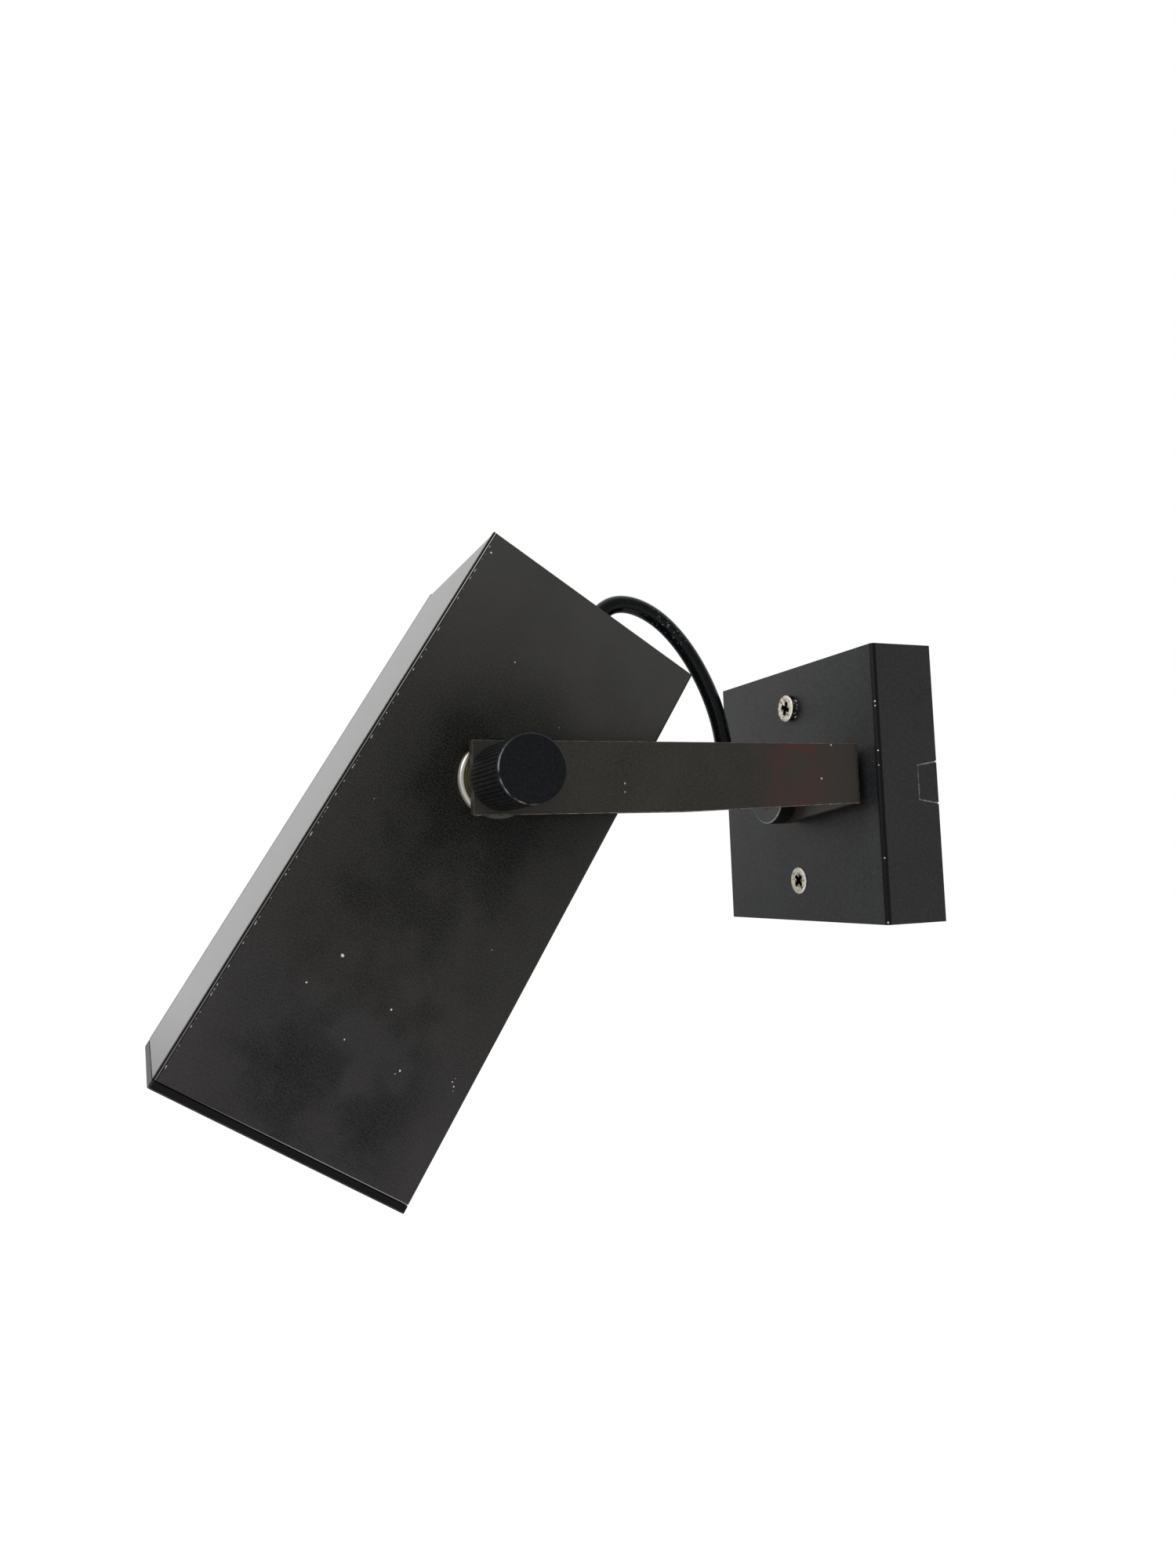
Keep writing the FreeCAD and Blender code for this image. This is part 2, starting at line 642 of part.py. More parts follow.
def arm():
    """Flat bar bent square; its foot slopes down a little to the swivel."""
    outline = [(ARM_END, ARM_LOW), (ARM_TAPER_START, ARM_LOW), (FOOT_FRONT, ARM_LOW + ARM_TAPER),
               (FOOT_BACK, ARM_LOW + ARM_TAPER), (FOOT_BACK, ARM_HIGH), (ARM_END, ARM_HIGH),
               (ARM_END, ARM_LOW)]
    side = Part.Face(Part.makePolygon([V(ARM_INNER, y, z) for y, z in outline]))
    bar = side.extrude(X_AXIS * ARM_T)
    foot = Part.Face(foot_outline()).extrude(Y_AXIS * (FOOT_BACK - FOOT_FRONT))
    shape = bar.fuse(foot).removeSplitter()
    shape = bend_corners(shape, Z_AXIS, ARM_CORNER_R,
                         lambda c: c.x > ARM_OUTER - TINY and c.y > FOOT_BACK - TINY)
    shape = bend_corners(shape, Z_AXIS, ARM_BEND_R,
                         lambda c: abs(c.x - ARM_INNER) < TINY and abs(c.y - FOOT_FRONT) < TINY)
    pivot = V(ARM_INNER - CUT_OVER, PIVOT_Y, PIVOT_Z)
    shape = shape.cut(rod(BOLT_R + SLIDE_FIT, pivot, pivot + X_AXIS * (ARM_T + 2 * CUT_OVER)))
    shape = shape.cut(rod(NIPPLE_R + THREAD_FIT, on_swivel(FOOT_FRONT - CUT_OVER),
                          on_swivel(FOOT_BACK + CUT_OVER)))
    end_edges = [edge for edge in shape.Edges if abs(edge.CenterOfMass.y - ARM_END) < TINY]
    return shape.makeChamfer(ARM_EDGE, end_edges)


# ---- tilt joint ------------------------------------------------------------------------
def tilt_disc():
    return ring(DISC_R, BOLT_R + THREAD_FIT, V(HALF, 0, 0), V(DISC_FACE, 0, 0))


def pivot_plate():
    half = PLATE_SIZE / 2
    plate = block(INSIDE - PLATE_T, INSIDE, -half, half, -half, half)
    plate = bend_corners(plate, X_AXIS, BOLT_R, lambda c: True)
    return plate.cut(rod(BOLT_R + THREAD_FIT, V(0, 0, 0), V(HALF, 0, 0)))


def pivot_bolt():
    seat = INSIDE - PLATE_T
    head = hexagon(BOLT_HEAD_R * 2 * math.cos(math.pi / 6), V(0, 0, 0), V(0, BOLT_HEAD_H, 0))
    head.Placement = FreeCAD.Placement(V(seat - BOLT_HEAD_H, 0, 0), FreeCAD.Rotation(Y_AXIS, X_AXIS))
    shank = rod(BOLT_R, V(seat - BOLT_HEAD_H / 2, 0, 0), V(KNOB_BACK + BOLT_THREAD_IN, 0, 0))
    return head.fuse(shank)


def tilt_knob():
    """Round knob with fine ridges along its side and a smooth front rim."""
    body = rod(KNOB_R, V(KNOB_BACK, 0, 0), V(KNOB_FRONT, 0, 0))
    step = 2 * math.pi / KNOB_RIDGES
    half_groove = step * KNOB_GROOVE_SHARE
    outer = KNOB_R + CUT_OVER
    for k in range(KNOB_RIDGES):
        angle = k * step
        corners = []
        for radius, offset in ((KNOB_R - KNOB_GROOVE, 0), (outer, half_groove), (outer, -half_groove)):
            corners.append(V(KNOB_BACK, radius * math.cos(angle + offset), radius * math.sin(angle + offset)))
        corners.append(corners[0])
        wedge = Part.Face(Part.makePolygon(corners)).extrude(V(KNOB_L - KNOB_RIM, 0, 0))
        body = body.cut(wedge)
    front_edges = [edge for edge in body.Edges if abs(edge.CenterOfMass.x - KNOB_FRONT) < TINY]
    body = body.makeChamfer(KNOB_EDGE, front_edges)
    bore = rod(INSERT_R + THREAD_FIT, V(KNOB_BACK - CUT_OVER, 0, 0), V(KNOB_BACK + INSERT_L, 0, 0))
    tip = rod(BOLT_R + INSERT_GAP, V(KNOB_BACK, 0, 0), V(KNOB_BACK + KNOB_BORE_DEPTH, 0, 0))
    return body.cut(bore).cut(tip)


def knob_insert():
    return ring(INSERT_R, BOLT_R + SLIDE_FIT, V(KNOB_BACK, 0, 0), V(KNOB_BACK + INSERT_L, 0, 0))


# ---- shade -----------------------------------------------------------------------------
def shade_channel():
    """Folded channel: near side, underside and far side."""
    outer = block(-HALF, HALF, SHELL_FRONT_Y, REAR_Y, -HALF, HALF)
    outer = bend_corners(outer, Y_AXIS, SHADE_BEND_R, lambda c: c.z < 0)
    inner = block(-INSIDE, INSIDE, SHELL_FRONT_Y - CUT_OVER, REAR_Y + CUT_OVER, -INSIDE, HALF + CUT_OVER)
    shape = outer.cut(inner)
    shape = shape.cut(rod(BOLT_R + THREAD_FIT, V(0, 0, 0), V(HALF + CUT_OVER, 0, 0)))
    for x in (-FIXING_X, FIXING_X):
        y = REAR_INSIDE - COVER_FLANGE / 2
        shape = shape.cut(rod(FIXING_R + THREAD_FIT, V(x, y, -HALF - CUT_OVER), V(x, y, 0)))
    return shape


def shade_cover():
    """Folded cover: top panel, rear wall and a lip that lies on the underside."""
    reach = INSIDE - SHEET_GAP
    low = -INSIDE + FACE_GAP
    top = block(-reach, reach, SHELL_FRONT_Y, REAR_Y, INSIDE, HALF)
    rear = block(-reach, reach, REAR_INSIDE, REAR_Y, low, HALF)
    lip = block(-reach, reach, REAR_INSIDE - COVER_FLANGE, REAR_Y, low, low + SHADE_SHEET)
    shape = top.fuse(rear).fuse(lip).removeSplitter()
    shape = bend_corners(shape, X_AXIS, SHADE_BEND_R, lambda c: c.y > REAR_Y - TINY)
    for k in range(VENTS_ABOVE):
        shape = shape.cut(vent_slot(VENT_START_UP + k * VENT_PITCH))
    for k in range(VENTS_BELOW):
        shape = shape.cut(vent_slot(-VENT_START_DOWN - k * VENT_PITCH))
    exit_point = V(0, REAR_INSIDE - CUT_OVER, -FLEX_EXIT_DOWN)
    shape = shape.cut(rod(GROMMET_NECK_R, exit_point, exit_point + Y_AXIS * (SHADE_SHEET + 2 * CUT_OVER)))
    for x in (-FIXING_X, FIXING_X):
        y = REAR_INSIDE - COVER_FLANGE / 2
        hole = FIXING_R + THREAD_FIT
        shape = shape.cut(rod(hole, V(x, y, low - CUT_OVER), V(x, y, low + SHADE_SHEET + CUT_OVER)))
        shape = shape.cut(rod(hole, V(x, REAR_INSIDE - CUT_OVER, 0), V(x, REAR_Y + CUT_OVER, 0)))
    return shape


def vent_slot(z):
    reach = VENT_L / 2 - VENT_W / 2
    y0 = REAR_INSIDE - CUT_OVER
    y1 = REAR_Y + CUT_OVER
    slot = block(-reach, reach, y0, y1, z - VENT_W / 2, z + VENT_W / 2)
    for x in (-reach, reach):
        slot = slot.fuse(rod(VENT_W / 2, V(x, y0, z), V(x, y1, z)))
    return slot


def front_bezel():
    """Frame on the open end, with a collar that plugs into the shade."""
    half = BEZEL_OPENING / 2
    frame = block(-HALF, HALF, FRONT_Y, FRONT_Y + BEZEL_T, -HALF, HALF)
    frame = bend_corners(frame, Y_AXIS, BEZEL_COLLAR_WALL, lambda c: True)
    collar_half = INSIDE - INSERT_GAP
    collar = block(-collar_half, collar_half, FRONT_Y + BEZEL_T / 2, FRONT_Y + BEZEL_T + BEZEL_COLLAR_L,
                   -collar_half, collar_half)
    wall = collar_half - BEZEL_COLLAR_WALL
    hollow = block(-wall, wall, FRONT_Y, FRONT_Y + BEZEL_T + BEZEL_COLLAR_L + CUT_OVER, -wall, wall)
    shape = frame.fuse(collar)
    shape = shape.cut(hollow.common(block(-wall, wall, FRONT_Y + BEZEL_T, REAR_Y, -wall, wall)))
    return shape.cut(block(-half, half, FRONT_Y - CUT_OVER, FRONT_Y + 2 * BEZEL_T, -half, half))


def small_screw(seat, direction):
    """Pan-head screw; seat is where the head meets the sheet, direction points into it."""
    head = rod(FIXING_HEAD_R, seat - direction * FIXING_HEAD_H, seat)
    face = seat - direction * FIXING_HEAD_H
    top = [edge for edge in head.Edges if (edge.CenterOfMass - face).Length < TINY]
    head = head.makeFillet(FIXING_HEAD_H / 3, top)
    shank = rod(FIXING_R, seat - direction * (FIXING_HEAD_H / 2), seat + direction * FIXING_LEN)
    side = direction.cross(X_AXIS)
    half_w = FIXING_HEAD_R / 6
    reach = FIXING_HEAD_R * 0.6
    slots = []
    face -= direction * CUT_OVER
    for along, across in ((side, X_AXIS), (X_AXIS, side)):
        corners = []
        for a, b in ((-1, -1), (1, -1), (1, 1), (-1, 1), (-1, -1)):
            corners.append(face + along * (a * reach) + across * (b * half_w))
        slots.append(Part.Face(Part.makePolygon(corners)).extrude(direction * (FIXING_HEAD_H / 2 + CUT_OVER)))
    return head.fuse(shank).cut(slots[0]).cut(slots[1])


def cover_fixing_screws():
    screws = []
    for x in (-FIXING_X, FIXING_X):
        screws.append(small_screw(V(x, REAR_INSIDE - COVER_FLANGE / 2, -HALF), Z_AXIS))
    return compound(screws)


def bridge_fixing_screws():
    screws = []
    for x in (-FIXING_X, FIXING_X):
        screws.append(small_screw(V(x, REAR_Y, 0), V(0, -1, 0)))
    return compound(screws)


def flex_grommet():
    """Rubber grommet that grips the rear wall and tapers round the flex."""
    bore = FLEX_R + SLIDE_FIT
    neck = GROMMET_NECK_R - SLIDE_FIT
    outside = GROMMET_INNER + SHADE_SHEET
    tip = outside + GROMMET_OUT
    profile = [
        (bore, 0), (GROMMET_R, 0), (GROMMET_R, GROMMET_INNER), (neck, GROMMET_INNER), (neck, outside),
        (GROMMET_R, outside), (GROMMET_R, outside + GROMMET_INNER / 2), (GROMMET_TIP_R, tip), (bore, tip),
    ]
    return revolved(profile, V(0, REAR_INSIDE - GROMMET_INNER, -FLEX_EXIT_DOWN), Y_AXIS)


# ---- lamp and its holder ---------------------------------------------------------------
def holder_bridge():
    """Hat-shaped strap on the rear wall that carries the lampholder."""
    half_span = BRIDGE_SPAN / 2
    half_w = BRIDGE_W / 2
    web = block(-half_span, half_span, SEAT_Y - BRIDGE_SHEET, SEAT_Y, -half_w, half_w)
    shape = web
    for side in (-1, 1):
        leg_a = side * half_span
        leg_b = side * (half_span - BRIDGE_SHEET)
        foot = side * (half_span + BRIDGE_FOOT)
        shape = shape.fuse(block(min(leg_a, leg_b), max(leg_a, leg_b), SEAT_Y - BRIDGE_SHEET, REAR_INSIDE,
                                 -half_w, half_w))
        shape = shape.fuse(block(min(leg_b, foot), max(leg_b, foot), REAR_INSIDE - BRIDGE_SHEET, REAR_INSIDE,
                                 -half_w, half_w))
        shape = shape.cut(rod(FIXING_R + THREAD_FIT, V(side * FIXING_X, SEAT_Y + BRIDGE_SHEET, 0),
                              V(side * FIXING_X, REAR_Y, 0)))
    holes = [(0, HOLDER_NIPPLE_R + THREAD_FIT), (-CORE_HOLE_X, CORE_PASS_R), (CORE_HOLE_X, CORE_PASS_R)]
    for x, radius in holes:
        shape = shape.cut(rod(radius, V(x, SEAT_Y - 2 * BRIDGE_SHEET, 0), V(x, SEAT_Y + BRIDGE_SHEET, 0)))
    return shape.removeSplitter()


def holder_nipple():
    start = HOLDER_BACK_Y - (HOLDER_NIPPLE_L - BRIDGE_SHEET) / 2
    return ring(HOLDER_NIPPLE_R, HOLDER_NIPPLE_BORE_R, V(0, start, 0), V(0, start + HOLDER_NIPPLE_L, 0))


def holder_nut():
    nut = hexagon(HOLDER_NUT_AF, V(0, SEAT_Y, 0), V(0, SEAT_Y + NUT_T, 0))
    return nut.cut(rod(HOLDER_NIPPLE_R + THREAD_FIT, V(0, SEAT_Y - CUT_OVER, 0), V(0, SEAT_Y + 2 * NUT_T, 0)))


def lampholder():
    """Moulded screw-type holder; the lamp's cap goes into its mouth."""
    nipple_depth = (HOLDER_NIPPLE_L - BRIDGE_SHEET) / 2 + INSERT_GAP
    bore = HOLDER_BORE_R + SHELL_WALL
    rim = HOLDER_L - HOLDER_RIM_L
    profile = [
        (HOLDER_NIPPLE_R + THREAD_FIT, 0), (HOLDER_R - HOLDER_EDGE, 0), (HOLDER_R, HOLDER_EDGE),
        (HOLDER_R, rim - HOLDER_MOUTH_R + HOLDER_R), (HOLDER_MOUTH_R, rim), (HOLDER_MOUTH_R, HOLDER_L),
        (bore + HOLDER_FLARE, HOLDER_L), (bore, HOLDER_BACK_T), (0, HOLDER_BACK_T), (0, nipple_depth),
        (HOLDER_NIPPLE_R + THREAD_FIT, nipple_depth),
    ]
    body = revolved(profile, V(0, HOLDER_BACK_Y, 0), V(0, -1, 0))
    for side in (-1, 1):
        hole = rod(CORE_R + SLIDE_FIT, V(side * CORE_HOLE_X, HOLDER_BACK_Y + CUT_OVER, 0),
                   V(side * CORE_HOLE_X, CONTACT_Y + HOLDER_BACK_T / 2, 0))
        body = body.cut(hole)
    return body


def holder_shell():
    """Threaded brass shell inside the holder."""
    start = V(0, CONTACT_Y, 0)
    return ring(HOLDER_BORE_R + SHELL_WALL - SLIDE_FIT, HOLDER_BORE_R, start - Y_AXIS * LAMP_CAP_L, start)


def holder_contact():
    return rod(CONTACT_R, V(0, lamp_tip_y(), 0), V(0, CONTACT_Y, 0))


def lamp_tip_y():
    return CONTACT_Y - CONTACT_T


def lamp_cap():
    """Screw cap with rolled thread and a centre contact, hollow behind the contact."""
    tip = lamp_tip_y()
    root = LAMP_CAP_R - LAMP_THREAD
    profile = [(0, 0), (CONTACT_R, 0), (CONTACT_R, LAMP_CAP_WALL), (root - CONTACT_R, LAMP_CAP_SHOULDER)]
    first = LAMP_CAP_SHOULDER + LAMP_CAP_WALL
    pitch = (LAMP_CAP_L - 2 * first) / LAMP_THREAD_TURNS
    for k in range(LAMP_THREAD_TURNS):
        profile.append((root, first + k * pitch))
        profile.append((LAMP_CAP_R, first + (k + 0.5) * pitch))
    bore = root - LAMP_CAP_WALL
    profile += [(root, LAMP_CAP_L - first), (LAMP_CAP_R, LAMP_CAP_L), (bore, LAMP_CAP_L),
                (bore, first), (0, first)]
    return revolved(profile, V(0, tip, 0), V(0, -1, 0))


def lamp_outline(inset):
    """Curves of the lamp from its neck to the middle of its face, drawn in by the glass."""
    length = LAMP_L - LAMP_CAP_L - inset
    neck_end = (LAMP_L - LAMP_CAP_L) * LAMP_NECK_SHARE
    bowl_end = LAMP_L - LAMP_CAP_L - LAMP_FACE_DOME - LAMP_EDGE_R
    face_r = LAMP_R - LAMP_EDGE_R
    edge_r = LAMP_EDGE_R - inset
    p0 = V(LAMP_CAP_R - inset, 0, 0)
    p1 = V(LAMP_NECK_R - inset, 0, LAMP_NECK_FLARE)
    p2 = V(LAMP_NECK_R - inset, 0, neck_end)
    p3 = V(LAMP_R - inset, 0, bowl_end)
    middle = (p2 + p3) * 0.5 + V(LAMP_BOWL_BULGE, 0, 0)
    p4 = V(face_r, 0, bowl_end + edge_r)
    round_out = V(face_r + edge_r * math.sin(math.pi / 4), 0, bowl_end + edge_r * math.cos(math.pi / 4))
    rise = length - p4.z
    sphere = (face_r * face_r + rise * rise) / (2 * rise)
    half = face_r / 2
    dome = V(half, 0, length - sphere + math.sqrt(sphere * sphere - half * half))
    p5 = V(0, 0, length)
    return [
        Part.LineSegment(p0, p1).toShape(), Part.LineSegment(p1, p2).toShape(),
        Part.Arc(p2, middle, p3).toShape(), Part.Arc(p3, round_out, p4).toShape(),
        Part.Arc(p4, dome, p5).toShape(),
    ], p0, p5


def lamp_bulb():
    """Reflector lamp: a glass envelope with neck, bowl and domed face, open where its cap sits."""
    outer, outer_start, outer_end = lamp_outline(0)
    inner, inner_start, inner_end = lamp_outline(LAMP_GLASS)
    edges = outer + inner
    edges.append(Part.LineSegment(outer_start, inner_start).toShape())
    edges.append(Part.LineSegment(outer_end, inner_end).toShape())
    wire = Part.Wire(Part.__sortEdges__(edges))
    solid = Part.Face(wire).revolve(V(0, 0, 0), Z_AXIS, 360)
    start = V(0, lamp_tip_y() - LAMP_CAP_L, 0)
    solid.Placement = FreeCAD.Placement(start, FreeCAD.Rotation(Z_AXIS, V(0, -1, 0)))
    return solid


# ---- flex and cores --------------------------------------------------------------------
def flex_start(past):
    return tilted_point(0, REAR_Y + GROMMET_OUT + past, -FLEX_EXIT_DOWN)


def flex():
    points = [flex_start(0), flex_start(FLEX_LEAD_OUT)]
    for y, z in FLEX_ROUTE:
        points.append(V(0, y, z))
    points.append(on_swivel(FLEX_END_Y - FLEX_LEAD_IN))
    points.append(on_swivel(FLEX_END_Y))
    return tube(points, FLEX_R, "flex")


def flex_in_swivel():
    return rod(FLEX_R, on_swivel(FLEX_END_Y), on_swivel(-NIPPLE_INNER_END))


def flex_in_grommet():
    y0 = REAR_INSIDE - GROMMET_INNER - FLEX_TAIL
    return rod(FLEX_R, V(0, y0, -FLEX_EXIT_DOWN), V(0, REAR_Y + GROMMET_OUT, -FLEX_EXIT_DOWN))


def head_cores():
    """Two insulated cores from the flex to the back of the holder."""
    cores = []
    start = REAR_INSIDE - GROMMET_INNER - FLEX_TAIL
    for side in (-1, 1):
        near = side * FLEX_R / 2
        far = side * CORE_HOLE_X
        points = [
            V(near, start, -FLEX_EXIT_DOWN), V(near, start - CORE_LEAD, -FLEX_EXIT_DOWN),
            V((near + 2 * far) / 3, start - CORE_LEAD - CORE_R, -FLEX_EXIT_DOWN * 2 / 3),
            V(far, start - CORE_LEAD, -CORE_PASS_R), V(far, SEAT_Y, 0), V(far, SEAT_Y - CORE_LEAD, 0),
        ]
        cores.append(tube(points, CORE_R, "head core"))
    return compound(cores)


def base_cores():
    """Three insulated cores that fan out from the flex and turn down to the terminals."""
    cores = []
    wire_y = -BRACKET_SHEET - WIRE_HOLE_Y
    edge_z = TERM_Z + TERM_W / 2
    starts = [(0, -CORE_SPREAD), (CORE_SPREAD, CORE_SPREAD / 2), (-CORE_SPREAD, CORE_SPREAD / 2)]
    for (x, z), place in zip(starts, terminal_places()):
        lane = CORE_LANE_Z + len(cores) * CORE_LANE_PITCH
        points = [
            V(x, FACE_GAP - NIPPLE_INNER_END, SWIVEL_Z + z),
            V(x, CORE_LEAD - NIPPLE_INNER_END, SWIVEL_Z + z),
            V(x + CORE_TURN, wire_y, lane), V(place - CORE_TURN, wire_y, lane - CORE_R / 2),
            V(place, wire_y, (lane + edge_z) / 2), V(place, wire_y, edge_z - CORE_IN_TERMINAL),
        ]
        cores.append(tube(points, CORE_R, "base core"))
    return compound(cores)


# ---- write the pieces --------------------------------------------------------------------
save("wall_cover", wall_cover())
save("mounting_bracket", mounting_bracket())
save("cover_screws", cover_screws())
save("terminal_block", terminal_block())
save("terminal_screws", terminal_screws())
save("terminal_fixing_screw", terminal_fixing_screw())
save("earth_screw", earth_screw())
save("earth_washer", earth_washer())
save("base_cores", base_cores())

save("arm", arm())
save("swivel_nipple", swivel_nipple())
save("swivel_boss", swivel_boss())
save("swivel_nuts", swivel_nuts())
save("inner_washer", inner_washer())
save("spring_washer", spring_washer())
save("thrust_washer", thrust_washer())
save("flex_bush", flex_bush())
save("flex_in_swivel", flex_in_swivel())

save("shade_channel", tilted(shade_channel()))
save("shade_cover", tilted(shade_cover()))
save("front_bezel", tilted(front_bezel()))
save("cover_fixing_screws", tilted(cover_fixing_screws()))
save("bridge_fixing_screws", tilted(bridge_fixing_screws()))
save("flex_grommet", tilted(flex_grommet()))
save("flex_in_grommet", tilted(flex_in_grommet()))
save("holder_bridge", tilted(holder_bridge()))
save("holder_nipple", tilted(holder_nipple()))
save("holder_nut", tilted(holder_nut()))
save("lampholder", tilted(lampholder()))
save("holder_shell", tilted(holder_shell()))
save("holder_contact", tilted(holder_contact()))
save("lamp_cap", tilted(lamp_cap()))
save("lamp_bulb", tilted(lamp_bulb()))
save("head_cores", tilted(head_cores()))
save("tilt_disc", tilted(tilt_disc()))
save("pivot_plate", tilted(pivot_plate()))
save("pivot_bolt", tilted(pivot_bolt()))

save("tilt_knob", tilted(tilt_knob()))
save("knob_insert", tilted(knob_insert()))

save("flex", flex())
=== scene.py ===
import math

import bmesh
import bpy
from mathutils import Matrix, Vector


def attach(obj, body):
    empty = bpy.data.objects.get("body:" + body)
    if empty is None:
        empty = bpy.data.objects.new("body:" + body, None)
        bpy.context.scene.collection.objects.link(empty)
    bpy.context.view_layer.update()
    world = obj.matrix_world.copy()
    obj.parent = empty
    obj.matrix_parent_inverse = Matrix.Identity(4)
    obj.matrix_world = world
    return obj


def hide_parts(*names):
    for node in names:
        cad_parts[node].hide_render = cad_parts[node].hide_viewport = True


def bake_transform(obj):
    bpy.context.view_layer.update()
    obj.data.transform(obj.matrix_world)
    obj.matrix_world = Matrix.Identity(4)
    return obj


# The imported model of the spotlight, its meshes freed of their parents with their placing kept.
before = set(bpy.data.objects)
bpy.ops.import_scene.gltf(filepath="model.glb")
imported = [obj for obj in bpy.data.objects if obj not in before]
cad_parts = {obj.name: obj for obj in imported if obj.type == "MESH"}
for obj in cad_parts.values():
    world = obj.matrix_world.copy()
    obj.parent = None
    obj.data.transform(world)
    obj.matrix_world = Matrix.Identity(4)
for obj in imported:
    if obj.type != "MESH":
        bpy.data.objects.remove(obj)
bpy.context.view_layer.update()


# ---- camera ------------------------------------------------------------------------
# The view of the photograph: close to the shade's side, a little in front of it and
# almost level, with the whole light in an upright picture.
camera_data = bpy.data.cameras.new("camera")
camera_data.sensor_fit = "VERTICAL"
camera_data.sensor_height = 36.0
camera_data.lens = 24.7336
camera_data.clip_start = 0.01
camera = bpy.data.objects.new("camera", camera_data)
camera.matrix_world = Matrix((
    (0.38392463, 0.08497641, 0.91944597, 0.31227),
    (0.92256421, 0.00614549, -0.38579465, -0.22954),
    (-0.03843389, 0.99636401, -0.07603679, -0.02187),
    (0.0, 0.0, 0.0, 1.0),
))
bpy.context.scene.collection.objects.link(camera)
bpy.context.scene.camera = camera
bpy.context.scene.view_settings.view_transform = "Standard"


# ---- flex --------------------------------------------------------------------------
# Round black PVC-sheathed flex, 5.6 mm thick. It leaves the shade's rear wall at a right
# angle, rises in a bow, drops behind the arm and turns into the swivel's bush.
FLEX_RADIUS = 0.0028
FLEX_POINTS = [
    (-0.09745, 0.05068), (-0.09487, 0.05473), (-0.0922, 0.0592), (-0.0866, 0.0626),
    (-0.0787, 0.0621), (-0.0699, 0.0575), (-0.0616, 0.0489), (-0.0547, 0.0374),
    (-0.0503, 0.0254), (-0.0487, 0.0146), (-0.0469, 0.0070), (-0.0432, 0.0024),
    (-0.0375, 0.0), (-0.0320, 0.0),
]
FLEX_STEPS = 10
FLEX_SIDES = 32


def spline_through(name, points, steps):
    """Points along the smooth line of a NURBS route, read from the spline itself."""
    data = bpy.data.curves.new(name, "CURVE")
    data.dimensions = "3D"
    data.resolution_u = steps
    route = data.splines.new("NURBS")
    route.points.add(len(points) - 1)
    for spot, (y, z) in zip(route.points, points):
        spot.co = (0.0, y, z, 1.0)
    route.order_u = 3
    route.use_endpoint_u = True
    carrier = bpy.data.objects.new(name, data)
    line = bpy.data.meshes.new_from_object(carrier)
    places = [vertex.co.copy() for vertex in line.vertices]
    bpy.data.objects.remove(carrier)
    return places


def tube_along(name, places, radius, sides):
    """Tube that follows points lying in the plane x = 0."""
    shell = bmesh.new()
    rings = []
    for k, place in enumerate(places):
        ahead = places[min(k + 1, len(places) - 1)] - places[max(k - 1, 0)]
        outward = ahead.normalized().cross(Vector((1, 0, 0)))
        ring = []
        for j in range(sides):
            angle = 2 * math.pi * j / sides
            offset = Vector((1, 0, 0)) * math.cos(angle) + outward * math.sin(angle)
            ring.append(shell.verts.new(place + offset * radius))
        rings.append(ring)
    for one, two in zip(rings, rings[1:]):
        for j in range(sides):
            shell.faces.new((one[j], one[(j + 1) % sides], two[(j + 1) % sides], two[j]))
    shell.faces.new(rings[0])
    shell.faces.new(rings[-1][::-1])
    bmesh.ops.recalc_face_normals(shell, faces=shell.faces)
    for face in shell.faces:
        face.smooth = len(face.verts) == 4
    mesh = bpy.data.meshes.new(name)
    shell.to_mesh(mesh)
    shell.free()
    return mesh


flex_line = spline_through("flex_route", FLEX_POINTS, FLEX_STEPS)
flex = bpy.data.objects.new("flex_sheath", tube_along("flex_sheath", flex_line, FLEX_RADIUS, FLEX_SIDES))
bpy.context.scene.collection.objects.link(flex)
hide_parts("flex")
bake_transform(flex)


def linear(hex_colour):
    """An sRGB hex value as a linear colour with alpha."""
    channels = []
    for k in (1, 3, 5):
        value = int(hex_colour[k:k + 2], 16) / 255
        channels.append(value / 12.92 if value <= 0.04045 else ((value + 0.055) / 1.055) ** 2.4)
    return (*channels, 1.0)


def add(tree, kind, inputs=None, **settings):
    """Adds a node with its settings; an input is a value or another node's output."""
    made = tree.nodes.new(kind)
    for name, value in settings.items():
        setattr(made, name, value)
    for name, value in (inputs or {}).items():
        if isinstance(value, bpy.types.NodeSocket):
            tree.links.new(value, made.inputs[name])
        else:
            made.inputs[name].default_value = value
    return made


def surface(name):
    """A new material with its tree and its one shader."""
    material = bpy.data.materials.new(name)
    material.use_nodes = True
    return material, material.node_tree, material.node_tree.nodes["Principled BSDF"]


def in_millimetres(tree, turn=0.0, middle=(0, 0, 0)):
    """Places on the part in mm, from a chosen middle and turned about X."""
    back = Matrix.Rotation(turn, 3, "X") @ Vector(middle)
    place = add(tree, "ShaderNodeTexCoord").outputs["Object"]
    return add(tree, "ShaderNodeMapping", {"Vector": place, "Scale": (1000, 1000, 1000),
                                           "Rotation": (turn, 0, 0), "Location": -back}).outputs["Vector"]


def complete(tree, shader, colour, grain, gloss, relief, index):
    """Links a colour, a roughness that follows the grain between two values, and its relief."""
    tree.links.new(colour, shader.inputs["Base Color"])
    satin = add(tree, "ShaderNodeMapRange", {"Value": grain, "To Min": gloss[0], "To Max": gloss[1]})
    tree.links.new(satin.outputs["Result"], shader.inputs["Roughness"])
    if relief:
        bump = add(tree, "ShaderNodeBump", {"Height": grain, "Strength": relief[0], "Distance": relief[1]})
        tree.links.new(bump.outputs["Normal"], shader.inputs["Normal"])
    shader.inputs["IOR"].default_value = index


